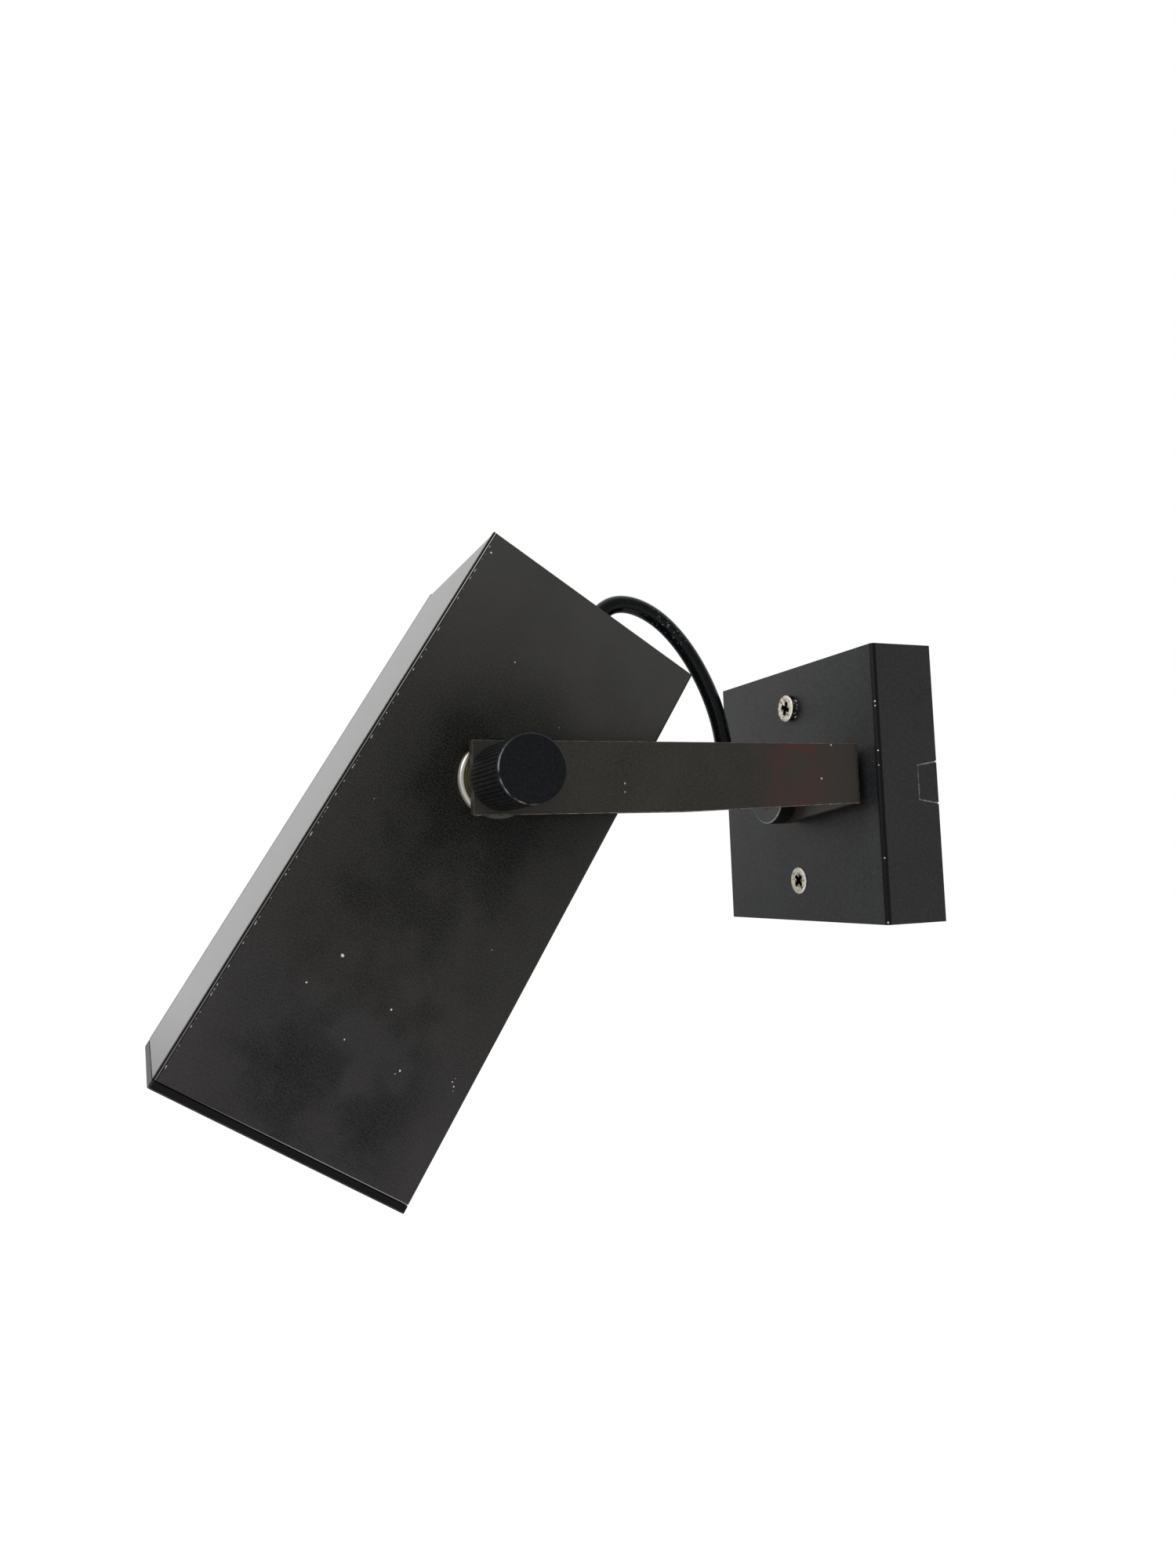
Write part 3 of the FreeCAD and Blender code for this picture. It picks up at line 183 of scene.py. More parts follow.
# The sheath is soft PVC: near-black, smooth and glossy with a slight drawn ripple. Grains
# of dust about 0.4 mm across lie where the bow turns down.
DUST_MIDDLE = (0.0, -68.0, 58.0)
flex_pvc, tree, shader = surface("drawn_black_pvc")
place = in_millimetres(tree)
ripple = add(tree, "ShaderNodeTexNoise", {"Vector": place, "Scale": 0.35, "Detail": 2.0}).outputs["Fac"]
dust = add(tree, "ShaderNodeTexVoronoi", {"Vector": place, "Scale": 1.1,
                                          "Randomness": 1.0}).outputs["Distance"]
patch = add(tree, "ShaderNodeVectorMath", {0: place, 1: DUST_MIDDLE}, operation="DISTANCE").outputs["Value"]
patch = add(tree, "ShaderNodeMapRange", {"Value": patch, "From Min": 4.0, "From Max": 13.0,
                                         "To Min": 1.0, "To Max": 0.06}).outputs["Result"]
grains = add(tree, "ShaderNodeMapRange", {"Value": dust, "From Min": 0.12, "From Max": 0.20,
                                          "To Min": 0.9, "To Max": 0.0}).outputs["Result"]
grains = add(tree, "ShaderNodeMath", {0: grains, 1: patch}, operation="MULTIPLY").outputs[0]
tint = add(tree, "ShaderNodeMix", {"Factor": grains, "A": linear("#06080a"), "B": linear("#a3adb4")},
           data_type="RGBA").outputs["Result"]
complete(tree, shader, tint, ripple, (0.10, 0.18), (0.15, 0.0004), 1.40)
flex.data.materials.append(flex_pvc)


def dress(material, *names):
    """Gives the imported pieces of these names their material."""
    for name in names:
        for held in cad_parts[name].material_slots:
            held.material = material


dress(flex_pvc, "flex_in_swivel", "flex_in_grommet", "flex")


# ---- wall base: cover and boss -------------------------------------------------------
# Square cover folded from 1.5 mm steel and lacquered a cool anthracite, with the turned
# boss of the swivel on its front. A scored knockout at the wall edge shows bare metal.
COVER_HALF_W = 46.0
COVER_DEPTH = 22.0
BEND_SPAN = 1.25
BEND_SOFT = 0.3
SCORE_TOP = 0.05
SCORE_BOTTOM = 0.7
SCORE_FROM_WALL = 8.0
# heights in mm of the few rubbed specks along the bend on the arm's side, and their sizes
BEND_SPECKS = [
    (25.0, 0.45), (23.6, 0.3), (11.7, 0.3), (9.8, 0.4), (5.4, 0.4), (-0.8, 0.3), (-22.9, 0.4), (-42.2, 0.45),
]


def speckled(tree, place, scale, swing, colour, toward):
    """A colour with a fine grain, which swings a little toward another colour and away."""
    grain = add(tree, "ShaderNodeTexNoise", {"Vector": place, "Scale": scale, "Detail": 2.0}).outputs["Fac"]
    grain = add(tree, "ShaderNodeMapRange", {"Value": grain, "From Min": 0.3, "From Max": 0.7,
                                             "To Min": -swing, "To Max": swing}).outputs["Result"]
    return add(tree, "ShaderNodeMix", {"Factor": grain, "A": colour, "B": linear(toward)},
               data_type="RGBA", clamp_factor=False).outputs["Result"]


def marked(tree, bare, place, rub, ragged, marks):
    """Adds small bare marks of (x, y, z, size) in mm, with outlines made ragged by a noise."""
    for *spot, size in marks:
        away = add(tree, "ShaderNodeVectorMath", {0: place, 1: spot}, operation="DISTANCE").outputs["Value"]
        away = add(tree, "ShaderNodeMath", {0: rub, 1: ragged, 2: away}, operation="MULTIPLY_ADD").outputs[0]
        mark = add(tree, "ShaderNodeMath", {0: away, 1: (size + ragged) / 2},
                   operation="LESS_THAN").outputs[0]
        bare = add(tree, "ShaderNodeMath", {0: bare, 1: mark}, operation="MAXIMUM").outputs[0]
    return bare


lacquer, tree, shader = surface("anthracite_lacquer_on_steel")
place = in_millimetres(tree)
axes = add(tree, "ShaderNodeSeparateXYZ", {"Vector": place}).outputs
cloud = add(tree, "ShaderNodeTexNoise", {"Vector": place, "Scale": 0.05, "Detail": 5.0}).outputs["Fac"]
cloud = add(tree, "ShaderNodeMapRange", {"Value": cloud, "From Min": 0.3, "From Max": 0.7}).outputs["Result"]
paint = add(tree, "ShaderNodeMix", {"Factor": cloud, "A": linear("#1f2022"), "B": linear("#262728")},
            data_type="RGBA").outputs["Result"]
# the face on the arm's side catches a little more light and reads warmer
side_face = add(tree, "ShaderNodeMath", {0: axes["X"], 1: COVER_HALF_W - 0.04},
                operation="GREATER_THAN").outputs[0]
side_face = add(tree, "ShaderNodeMath", {0: side_face, 1: 0.45}, operation="MULTIPLY").outputs[0]
paint = add(tree, "ShaderNodeMix", {"Factor": side_face, "A": paint, "B": linear("#333333")},
            data_type="RGBA").outputs["Result"]
# fine pigment grain of about 0.8 mm
paint = speckled(tree, place, 1.3, 0.22, paint, "#3b3d41")
# painted dark reflection: the rounded bend between front and side is painted near
# black, as it would mirror the dark surround on the camera's side
by_side = add(tree, "ShaderNodeMapRange", {"Value": axes["X"],
                                           "From Min": COVER_HALF_W - BEND_SPAN - BEND_SOFT,
                                           "From Max": COVER_HALF_W - BEND_SPAN}).outputs["Result"]
by_front = add(tree, "ShaderNodeMapRange", {"Value": axes["Y"], "From Min": BEND_SPAN - COVER_DEPTH,
                                            "From Max": BEND_SPAN + BEND_SOFT - COVER_DEPTH,
                                            "To Min": 1.0, "To Max": 0.0}).outputs["Result"]
painted_dark_bend = add(tree, "ShaderNodeMath", {0: by_side, 1: by_front}, operation="MULTIPLY").outputs[0]
paint = add(tree, "ShaderNodeMix", {"Factor": painted_dark_bend, "A": paint, "B": linear("#040405")},
            data_type="RGBA").outputs["Result"]
# bare metal in the scored line, which lies a little under the side's face, near the wall
deep = add(tree, "ShaderNodeMath", {0: axes["X"], 1: COVER_HALF_W - SCORE_TOP},
           operation="LESS_THAN").outputs[0]
not_inside = add(tree, "ShaderNodeMath", {0: axes["X"], 1: COVER_HALF_W - SCORE_BOTTOM},
                 operation="GREATER_THAN").outputs[0]
near_wall = add(tree, "ShaderNodeMath", {0: axes["Y"], 1: -SCORE_FROM_WALL},
                operation="GREATER_THAN").outputs[0]
scored = add(tree, "ShaderNodeMath", {0: deep, 1: not_inside}, operation="MULTIPLY").outputs[0]
scored = add(tree, "ShaderNodeMath", {0: scored, 1: near_wall}, operation="MULTIPLY").outputs[0]
rub = add(tree, "ShaderNodeTexNoise", {"Vector": place, "Scale": 0.9, "Detail": 3.0}).outputs["Fac"]
broken = add(tree, "ShaderNodeMapRange", {"Value": rub, "From Min": 0.40, "From Max": 0.60,
                                          "To Min": 0.45, "To Max": 1.0}).outputs["Result"]
bare = add(tree, "ShaderNodeMath", {0: scored, 1: broken}, operation="MULTIPLY").outputs[0]
bare = marked(tree, bare, place, rub, 0.8, [(COVER_HALF_W - 0.3, 0.3 - COVER_DEPTH, height, size)
                                            for height, size in BEND_SPECKS])
coat = add(tree, "ShaderNodeMix", {"Factor": bare, "A": paint, "B": linear("#b9b8b2")},
           data_type="RGBA").outputs["Result"]
grain = add(tree, "ShaderNodeTexNoise", {"Vector": place, "Scale": 2.2, "Detail": 3.0}).outputs["Fac"]
complete(tree, shader, coat, grain, (0.36, 0.54), (0.15, 0.0002), 1.38)
dress(lacquer, "wall_cover")

# The boss carries the same lacquer over turned steel. Its round side is painted near black
# as painted shade, and the edge of its face carries a thin pale arc on the lower side.
BOSS_RADIUS = 10.0
BOSS_FACE = -33.5
BOSS_EDGE = 0.45
RIM_IN = 0.32
RIM_HALF = 0.16
boss_lacquer, tree, shader = surface("anthracite_lacquer_on_turned_steel")
place = in_millimetres(tree)
axes = add(tree, "ShaderNodeSeparateXYZ", {"Vector": place}).outputs
flat = add(tree, "ShaderNodeCombineXYZ", {"X": axes["X"], "Z": axes["Z"]}).outputs["Vector"]
reach = add(tree, "ShaderNodeVectorMath", {0: flat}, operation="LENGTH").outputs["Value"]
grain = add(tree, "ShaderNodeTexNoise", {"Vector": place, "Scale": 1.3, "Detail": 3.0}).outputs["Fac"]
paint = add(tree, "ShaderNodeMix", {"Factor": grain, "A": linear("#2e3031"), "B": linear("#3d3f40")},
            data_type="RGBA").outputs["Result"]
# painted shade: the boss's round side is painted near black
boss_side_painted_shade = add(tree, "ShaderNodeMath", {0: axes["Y"], 1: BOSS_FACE + BOSS_EDGE},
                 operation="GREATER_THAN").outputs[0]
outside = add(tree, "ShaderNodeMath", {0: reach, 1: BOSS_RADIUS - 0.1}, operation="GREATER_THAN").outputs[0]
boss_side_painted_shade = add(tree, "ShaderNodeMath", {0: boss_side_painted_shade, 1: outside}, operation="MULTIPLY").outputs[0]
paint = add(tree, "ShaderNodeMix", {"Factor": boss_side_painted_shade, "A": paint, "B": linear("#0a0a0b")},
            data_type="RGBA").outputs["Result"]
rim = add(tree, "ShaderNodeMath", {0: reach, 1: BOSS_RADIUS - RIM_IN, 2: RIM_HALF},
          operation="COMPARE").outputs[0]
low = add(tree, "ShaderNodeMapRange", {"Value": axes["Z"], "From Min": -3.0,
                                       "From Max": -7.0}).outputs["Result"]
rim = add(tree, "ShaderNodeMath", {0: rim, 1: low}, operation="MULTIPLY").outputs[0]
rim = add(tree, "ShaderNodeMath", {0: rim, 1: grain}, operation="MULTIPLY").outputs[0]
coat = add(tree, "ShaderNodeMix", {"Factor": rim, "A": paint, "B": linear("#c9c8c2")},
           data_type="RGBA").outputs["Result"]
complete(tree, shader, coat, grain, (0.36, 0.54), None, 1.38)
dress(boss_lacquer, "swivel_boss")


# ---- wall base: screws and inside ------------------------------------------------------
# Countersunk machine screws, nickel-plated, with a cross recess. Plating is bright, but
# handling has left it slightly dull and warm.
COVER_SCREW_UP = 29.5
UPPER_FACE = -24.0
LOWER_FACE = -22.3
RECESS_REACH = 2.6
HEAD_RIM = 4.05
HEAD_RIM_HALF = 0.3
NECK_BELOW = 0.33
NECK_REACH = 2.45
nickel, tree, shader = surface("nickel_plated_steel")
place = in_millimetres(tree)
axes = add(tree, "ShaderNodeSeparateXYZ", {"Vector": place}).outputs
stain = add(tree, "ShaderNodeTexNoise", {"Vector": place, "Scale": 0.9, "Detail": 4.0}).outputs["Fac"]
plate = add(tree, "ShaderNodeMapRange", {"Value": stain, "From Min": 0.36,
                                         "From Max": 0.52}).outputs["Result"]
plate = add(tree, "ShaderNodeMix", {"Factor": plate, "A": linear("#8f897a"), "B": linear("#d3cdbc")},
            data_type="RGBA").outputs["Result"]
# painted shade darkens the cross recess, and dirt smears a little way over the face round it
up = add(tree, "ShaderNodeMath", {0: axes["Z"]}, operation="ABSOLUTE").outputs[0]
up = add(tree, "ShaderNodeMath", {0: up, 1: COVER_SCREW_UP}, operation="SUBTRACT").outputs[0]
flat = add(tree, "ShaderNodeCombineXYZ", {"X": axes["X"], "Z": up}).outputs["Vector"]
reach = add(tree, "ShaderNodeVectorMath", {0: flat}, operation="LENGTH").outputs["Value"]
side = add(tree, "ShaderNodeMath", {0: axes["Z"]}, operation="SIGN").outputs[0]
top = add(tree, "ShaderNodeMath", {0: side, 1: (UPPER_FACE - LOWER_FACE) / 2,
                                   2: (UPPER_FACE + LOWER_FACE) / 2}, operation="MULTIPLY_ADD").outputs[0]
depth = add(tree, "ShaderNodeMath", {0: axes["Y"], 1: top}, operation="SUBTRACT").outputs[0]
sunk = add(tree, "ShaderNodeMapRange", {"Value": depth, "From Min": 0.02, "From Max": 0.30}).outputs["Result"]
inner = add(tree, "ShaderNodeMath", {0: reach, 1: RECESS_REACH}, operation="LESS_THAN").outputs[0]
dirt_and_shade = add(tree, "ShaderNodeMath", {0: sunk, 1: inner}, operation="MULTIPLY").outputs[0]
on_face = add(tree, "ShaderNodeMath", {0: depth, 1: 0.0, 2: 1.7}, operation="COMPARE").outputs[0]
# painted highlight: the edge of the head on the arm's side is painted bright where it catches light
aside = add(tree, "ShaderNodeMapRange", {"Value": axes["X"], "From Min": 0.8,
                                         "From Max": 2.6}).outputs["Result"]
rim_painted_highlight = add(tree, "ShaderNodeMath", {0: reach, 1: HEAD_RIM, 2: HEAD_RIM_HALF}, operation="COMPARE").outputs[0]
rim_painted_highlight = add(tree, "ShaderNodeMath", {0: rim_painted_highlight, 1: aside}, operation="MULTIPLY").outputs[0]
plate = add(tree, "ShaderNodeMix", {"Factor": rim_painted_highlight, "A": plate, "B": linear("#fbf8ee")},
            data_type="RGBA").outputs["Result"]
smear = add(tree, "ShaderNodeMath", {0: stain, 1: -9.0, 2: 6.6}, operation="MULTIPLY_ADD").outputs[0]
smear = add(tree, "ShaderNodeMath", {0: reach, 1: smear}, operation="LESS_THAN").outputs[0]
smear = add(tree, "ShaderNodeMath", {0: smear, 1: 0.7}, operation="MULTIPLY").outputs[0]
dirt_and_shade = add(tree, "ShaderNodeMath", {0: dirt_and_shade, 1: smear}, operation="MAXIMUM").outputs[0]
dirt_and_shade = add(tree, "ShaderNodeMath", {0: dirt_and_shade, 1: on_face}, operation="MULTIPLY").outputs[0]
# the neck under the head is painted dark as shade and dirt, with a few turns left paler
# as painted highlights
under = add(tree, "ShaderNodeMath", {0: depth, 1: NECK_BELOW}, operation="GREATER_THAN").outputs[0]
outer = add(tree, "ShaderNodeMath", {0: reach, 1: NECK_REACH}, operation="GREATER_THAN").outputs[0]
neck = add(tree, "ShaderNodeMapRange", {"Value": stain, "From Min": 0.52, "From Max": 0.64,
                                        "To Min": 1.0, "To Max": 0.55}).outputs["Result"]
neck = add(tree, "ShaderNodeMath", {0: neck, 1: under}, operation="MULTIPLY").outputs[0]
neck = add(tree, "ShaderNodeMath", {0: neck, 1: outer}, operation="MULTIPLY").outputs[0]
dirt_and_shade = add(tree, "ShaderNodeMath", {0: dirt_and_shade, 1: neck}, operation="MAXIMUM").outputs[0]
plate = add(tree, "ShaderNodeMix", {"Factor": dirt_and_shade, "A": plate, "B": linear("#14110c")},
            data_type="RGBA")
tree.links.new(plate.outputs["Result"], shader.inputs["Base Color"])
dull = add(tree, "ShaderNodeMapRange", {"Value": stain, "To Min": 0.55, "To Max": 0.25}).outputs["Result"]
dull = add(tree, "ShaderNodeMath", {0: dull, 1: neck}, operation="MAXIMUM").outputs[0]
tree.links.new(dull, shader.inputs["Roughness"])
relief = add(tree, "ShaderNodeBump", {"Height": stain, "Strength": 0.5, "Distance": 0.0004})
tree.links.new(relief.outputs["Normal"], shader.inputs["Normal"])
shader.inputs["Metallic"].default_value = 0.55
dress(nickel, "cover_screws", "cover_fixing_screws", "bridge_fixing_screws")


SHARP_EDGE = math.radians(40)


def turned(name, profile, steps, stand):
    """Ring turned about X from (distance, radius) points in mm, then placed by a matrix."""
    shell = bmesh.new()
    rings = []
    for k in range(steps):
        angle = 2 * math.pi * k / steps
        rings.append([shell.verts.new((x / 1000, radius * math.cos(angle) / 1000,
                                       radius * math.sin(angle) / 1000)) for x, radius in profile])
    count = len(profile)
    for k in range(steps):
        one, two = rings[k], rings[(k + 1) % steps]
        for j in range(count):
            shell.faces.new((one[j], one[(j + 1) % count], two[(j + 1) % count], two[j]))
    bmesh.ops.recalc_face_normals(shell, faces=shell.faces)
    for face in shell.faces:
        face.smooth = True
    mesh = bpy.data.meshes.new(name)
    shell.to_mesh(mesh)
    shell.free()
    mesh.transform(stand)
    mesh.set_sharp_from_angle(angle=SHARP_EDGE)
    return mesh


# The raised upper screw shows its neck: turns of thread choked with old paint, which fill
# the countersunk hole in the cover.
NECK_START = -23.1
NECK_END = -20.6
NECK_TURNS = 4
NECK_CORE = 2.55
NECK_COLLAR = 3.6
NECK_COLLAR_T = 0.4
NECK_CREST = 3.2
NECK_THREAD = 0.25
NECK_STEPS = 72
neck_profile = [(NECK_END, NECK_CORE), (NECK_START, NECK_CORE), (NECK_START, NECK_COLLAR)]
for k in range(2 * NECK_TURNS + 1):
    neck_profile.append((NECK_START + NECK_COLLAR_T
                         + (NECK_END - NECK_START - NECK_COLLAR_T) * k / (2 * NECK_TURNS),
                         NECK_CREST if k % 2 else NECK_CREST - NECK_THREAD))
quarter_turn = Matrix.Rotation(math.radians(90), 4, "Z")
neck = bpy.data.objects.new("upper_screw_neck", turned(
    "upper_screw_neck", neck_profile, NECK_STEPS,
    Matrix.Translation((0, 0, COVER_SCREW_UP / 1000)) @ quarter_turn))
bpy.context.scene.collection.objects.link(neck)
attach(neck, "wall_base")
painted_thread, tree, shader = surface("painted_screw_thread")
place = in_millimetres(tree)
wear = add(tree, "ShaderNodeTexNoise", {"Vector": place, "Scale": 1.1, "Detail": 3.0}).outputs["Fac"]
wear = add(tree, "ShaderNodeMapRange", {"Value": wear, "From Min": 0.54, "From Max": 0.64}).outputs["Result"]
caked = add(tree, "ShaderNodeMix", {"Factor": wear, "A": linear("#12110e"), "B": linear("#a8a191")},
            data_type="RGBA")
tree.links.new(caked.outputs["Result"], shader.inputs["Base Color"])
shader.inputs["Roughness"].default_value = 0.7
neck.data.materials.append(painted_thread)

# Zinc-plated steel of the bracket, the nuts and the washers: grey, with a fine grain
# from rolling and the faint blue and yellow of its passivation.
zinc, tree, shader = surface("zinc_plated_steel")
place = in_millimetres(tree)
spangle = add(tree, "ShaderNodeTexNoise", {"Vector": place, "Scale": 0.12, "Detail": 3.0}).outputs["Fac"]
plate = add(tree, "ShaderNodeMix", {"Factor": spangle, "A": linear("#9aa0a4"), "B": linear("#b3ae9c")},
            data_type="RGBA")
tree.links.new(plate.outputs["Result"], shader.inputs["Base Color"])
grain = add(tree, "ShaderNodeTexNoise", {"Vector": place, "Scale": 1.8, "Detail": 4.0}).outputs["Fac"]
dull = add(tree, "ShaderNodeMapRange", {"Value": grain, "To Min": 0.30, "To Max": 0.48}).outputs["Result"]
tree.links.new(dull, shader.inputs["Roughness"])
shader.inputs["Metallic"].default_value = 0.9
dress(zinc, "mounting_bracket", "terminal_fixing_screw", "earth_washer", "swivel_nipple", "swivel_nuts",
      "inner_washer", "spring_washer", "holder_bridge", "holder_nipple", "holder_nut", "pivot_plate",
      "pivot_bolt", "lamp_cap")


def mottled(name, scale, detail, one, two, roughness, index=1.5):
    """A moulded, drawn or glazed material whose tone drifts between two colours."""
    material, tree, shader = surface(name)
    drift = add(tree, "ShaderNodeTexNoise", {"Vector": in_millimetres(tree), "Scale": scale,
                                             "Detail": detail}).outputs["Fac"]
    tone = add(tree, "ShaderNodeMix", {"Factor": drift, "A": linear(one), "B": linear(two)}, data_type="RGBA")
    tree.links.new(tone.outputs["Result"], shader.inputs["Base Color"])
    shader.inputs["Roughness"].default_value = roughness
    shader.inputs["IOR"].default_value = index
    return material


# Terminal block of off-white thermoplastic: moulded, faintly glossy, a little yellowed.
dress(mottled("moulded_thermoplastic", 0.08, 2.0, "#d8d4c6", "#c9c3b0", 0.45), "terminal_block")

# Brass of the terminal screws, the knob's insert, the holder's shell and its contact:
# turned or drawn, warm yellow, slightly tarnished.
brass, tree, shader = surface("turned_brass")
place = in_millimetres(tree)
tarnish = add(tree, "ShaderNodeTexNoise", {"Vector": place, "Scale": 0.5, "Detail": 4.0}).outputs["Fac"]
metal = add(tree, "ShaderNodeMix", {"Factor": tarnish, "A": linear("#8d6f3a"), "B": linear("#c7a35c")},
            data_type="RGBA")
tree.links.new(metal.outputs["Result"], shader.inputs["Base Color"])
dull = add(tree, "ShaderNodeMapRange", {"Value": tarnish, "To Min": 0.42, "To Max": 0.26}).outputs["Result"]
tree.links.new(dull, shader.inputs["Roughness"])
shader.inputs["Metallic"].default_value = 1.0
dress(brass, "terminal_screws", "earth_screw", "knob_insert", "holder_shell", "holder_contact")

# Insulated cores in the base and in the head: extruded PVC, blue-grey, half gloss.
dress(mottled("extruded_core_pvc", 0.06, 1.0, "#4d5a6e", "#6a7484", 0.35), "base_cores", "head_cores")

# Black rubber of the grommet, the bush and the thrust washer: moulded, dull, with bloom.
dress(mottled("moulded_black_rubber", 0.4, 5.0, "#101010", "#1d1d1c", 0.65, 1.52),
      "flex_grommet", "flex_bush", "thrust_washer")


# ---- arm ---------------------------------------------------------------------------------
# Flat bar of 20 x 3 mm aluminium, sawn and bent, then anodised dark bronze. Handling has
# warmed it to red-brown near the wall end, and its cut edges show thin bright lines.
ARM_OUTSIDE = 40.6
ARM_LOW = -7.5
ARM_HIGH = 12.5
ARM_TAPER = 1.7
ARM_TAPER_SPAN = (-85.0, -27.7)
ARM_HEEL = -24.7
EDGE_DEEP = 0.35
LOW_LINE = 0.14
HIGH_LINE = 0.12
HEEL_LINE = 0.9
# (y, z, size) in mm of the marks on the bar's outer face
ARM_MARKS = [
    (-104.4, 0.7, 0.55), (-104.5, -1.7, 0.45), (-39.1, 1.8, 0.7), (-35.0, 12.0, 0.6), (-36.5, -6.1, 0.5),
]
WARM_MIDDLE = 50.0
bronze_bar, tree, shader = surface("anodised_flat_bar")
place = in_millimetres(tree)
axes = add(tree, "ShaderNodeSeparateXYZ", {"Vector": place}).outputs
cloud = add(tree, "ShaderNodeTexNoise", {"Vector": place, "Scale": 0.07, "Detail": 5.0}).outputs["Fac"]
cloud = add(tree, "ShaderNodeMapRange", {"Value": cloud, "From Min": 0.3, "From Max": 0.7}).outputs["Result"]
bronze = add(tree, "ShaderNodeMix", {"Factor": cloud, "A": linear("#282721"), "B": linear("#2f2d27")},
             data_type="RGBA").outputs["Result"]
bronze = speckled(tree, place, 1.5, 0.25, bronze, "#403e37")
# brown toward the wall end, and red-brown where hands have warmed it 50 mm from the wall
brown = add(tree, "ShaderNodeMapRange", {"Value": axes["Y"], "From Min": -66.0, "From Max": -46.0,
                                         "To Min": 0.0, "To Max": 0.75},
            interpolation_type="SMOOTHSTEP").outputs["Result"]
bronze = add(tree, "ShaderNodeMix", {"Factor": brown, "A": bronze, "B": linear("#352d27")},
             data_type="RGBA").outputs["Result"]
to_middle = add(tree, "ShaderNodeMath", {0: axes["Y"], 1: WARM_MIDDLE}, operation="ADD").outputs[0]
to_middle = add(tree, "ShaderNodeMath", {0: to_middle}, operation="ABSOLUTE").outputs[0]
warm = add(tree, "ShaderNodeMapRange", {"Value": to_middle, "From Min": 2.0, "From Max": 17.0,
                                        "To Min": 0.75, "To Max": 0.0},
           interpolation_type="SMOOTHSTEP").outputs["Result"]
patch = add(tree, "ShaderNodeTexNoise", {"Vector": place, "Scale": 0.16, "Detail": 5.0}).outputs["Fac"]
patch = add(tree, "ShaderNodeMapRange", {"Value": patch, "From Min": 0.38,
                                         "From Max": 0.62}).outputs["Result"]
warm = add(tree, "ShaderNodeMath", {0: warm, 1: patch}, operation="MULTIPLY").outputs[0]
bronze = add(tree, "ShaderNodeMix", {"Factor": warm, "A": bronze, "B": linear("#43231e")},
             data_type="RGBA").outputs["Result"]
# painted shade: the foot behind the bar's face is darkened where the bar shades it
foot_painted_shade = add(tree, "ShaderNodeMath", {0: axes["X"], 1: ARM_OUTSIDE - 1.0}, operation="LESS_THAN").outputs[0]
behind = add(tree, "ShaderNodeMath", {0: axes["Y"], 1: ARM_TAPER_SPAN[1] - 0.1},
             operation="GREATER_THAN").outputs[0]
foot_painted_shade = add(tree, "ShaderNodeMath", {0: foot_painted_shade, 1: behind}, operation="MULTIPLY").outputs[0]
foot_painted_shade = add(tree, "ShaderNodeMath", {0: foot_painted_shade, 1: 0.5}, operation="MULTIPLY").outputs[0]
bronze = add(tree, "ShaderNodeMix", {"Factor": foot_painted_shade, "A": bronze, "B": linear("#12110f")},
             data_type="RGBA").outputs["Result"]
# sawn edges rubbed to a thin line: the lower one clear, the upper one and the heel faint
outer_edge = add(tree, "ShaderNodeMath", {0: axes["X"], 1: ARM_OUTSIDE - EDGE_DEEP},
                 operation="GREATER_THAN").outputs[0]
rub = add(tree, "ShaderNodeTexNoise", {"Vector": place, "Scale": 0.5, "Detail": 4.0}).outputs["Fac"]
rub = add(tree, "ShaderNodeMapRange", {"Value": rub, "From Min": 0.35, "From Max": 0.62,
                                       "To Min": 0.15, "To Max": 1.0}).outputs["Result"]
lowest = add(tree, "ShaderNodeMapRange", {"Value": axes["Y"], "From Min": ARM_TAPER_SPAN[0],
                                          "From Max": ARM_TAPER_SPAN[1], "To Min": ARM_LOW + LOW_LINE,
                                          "To Max": ARM_LOW + ARM_TAPER + LOW_LINE}).outputs["Result"]
low_edge = add(tree, "ShaderNodeMath", {0: axes["Z"], 1: lowest}, operation="LESS_THAN").outputs[0]
high_edge = add(tree, "ShaderNodeMath", {0: axes["Z"], 1: ARM_HIGH - HIGH_LINE},
                operation="GREATER_THAN").outputs[0]
heel = add(tree, "ShaderNodeMath", {0: axes["Y"], 1: ARM_HEEL - HEEL_LINE},
           operation="GREATER_THAN").outputs[0]
faint = add(tree, "ShaderNodeMath", {0: high_edge, 1: heel}, operation="MAXIMUM").outputs[0]
faint = add(tree, "ShaderNodeMath", {0: faint, 1: 0.35}, operation="MULTIPLY").outputs[0]
bare = add(tree, "ShaderNodeMath", {0: low_edge, 1: 0.6}, operation="MULTIPLY").outputs[0]
bare = add(tree, "ShaderNodeMath", {0: bare, 1: faint}, operation="MAXIMUM").outputs[0]
bare = add(tree, "ShaderNodeMath", {0: bare, 1: outer_edge}, operation="MULTIPLY").outputs[0]
bare = add(tree, "ShaderNodeMath", {0: bare, 1: rub}, operation="MULTIPLY").outputs[0]
bare = marked(tree, bare, place, rub, 0.0, [(ARM_OUTSIDE, *mark) for mark in ARM_MARKS])
coat = add(tree, "ShaderNodeMix", {"Factor": bare, "A": bronze, "B": linear("#9b9a94")},
           data_type="RGBA").outputs["Result"]
drawn = add(tree, "ShaderNodeMapping", {"Vector": place, "Scale": (2.0, 0.05, 2.0)}).outputs["Vector"]
lines = add(tree, "ShaderNodeTexNoise", {"Vector": drawn, "Scale": 1.0, "Detail": 4.0}).outputs["Fac"]
complete(tree, shader, coat, lines, (0.36, 0.50), (0.10, 0.0002), 1.5)
dress(bronze_bar, "arm")


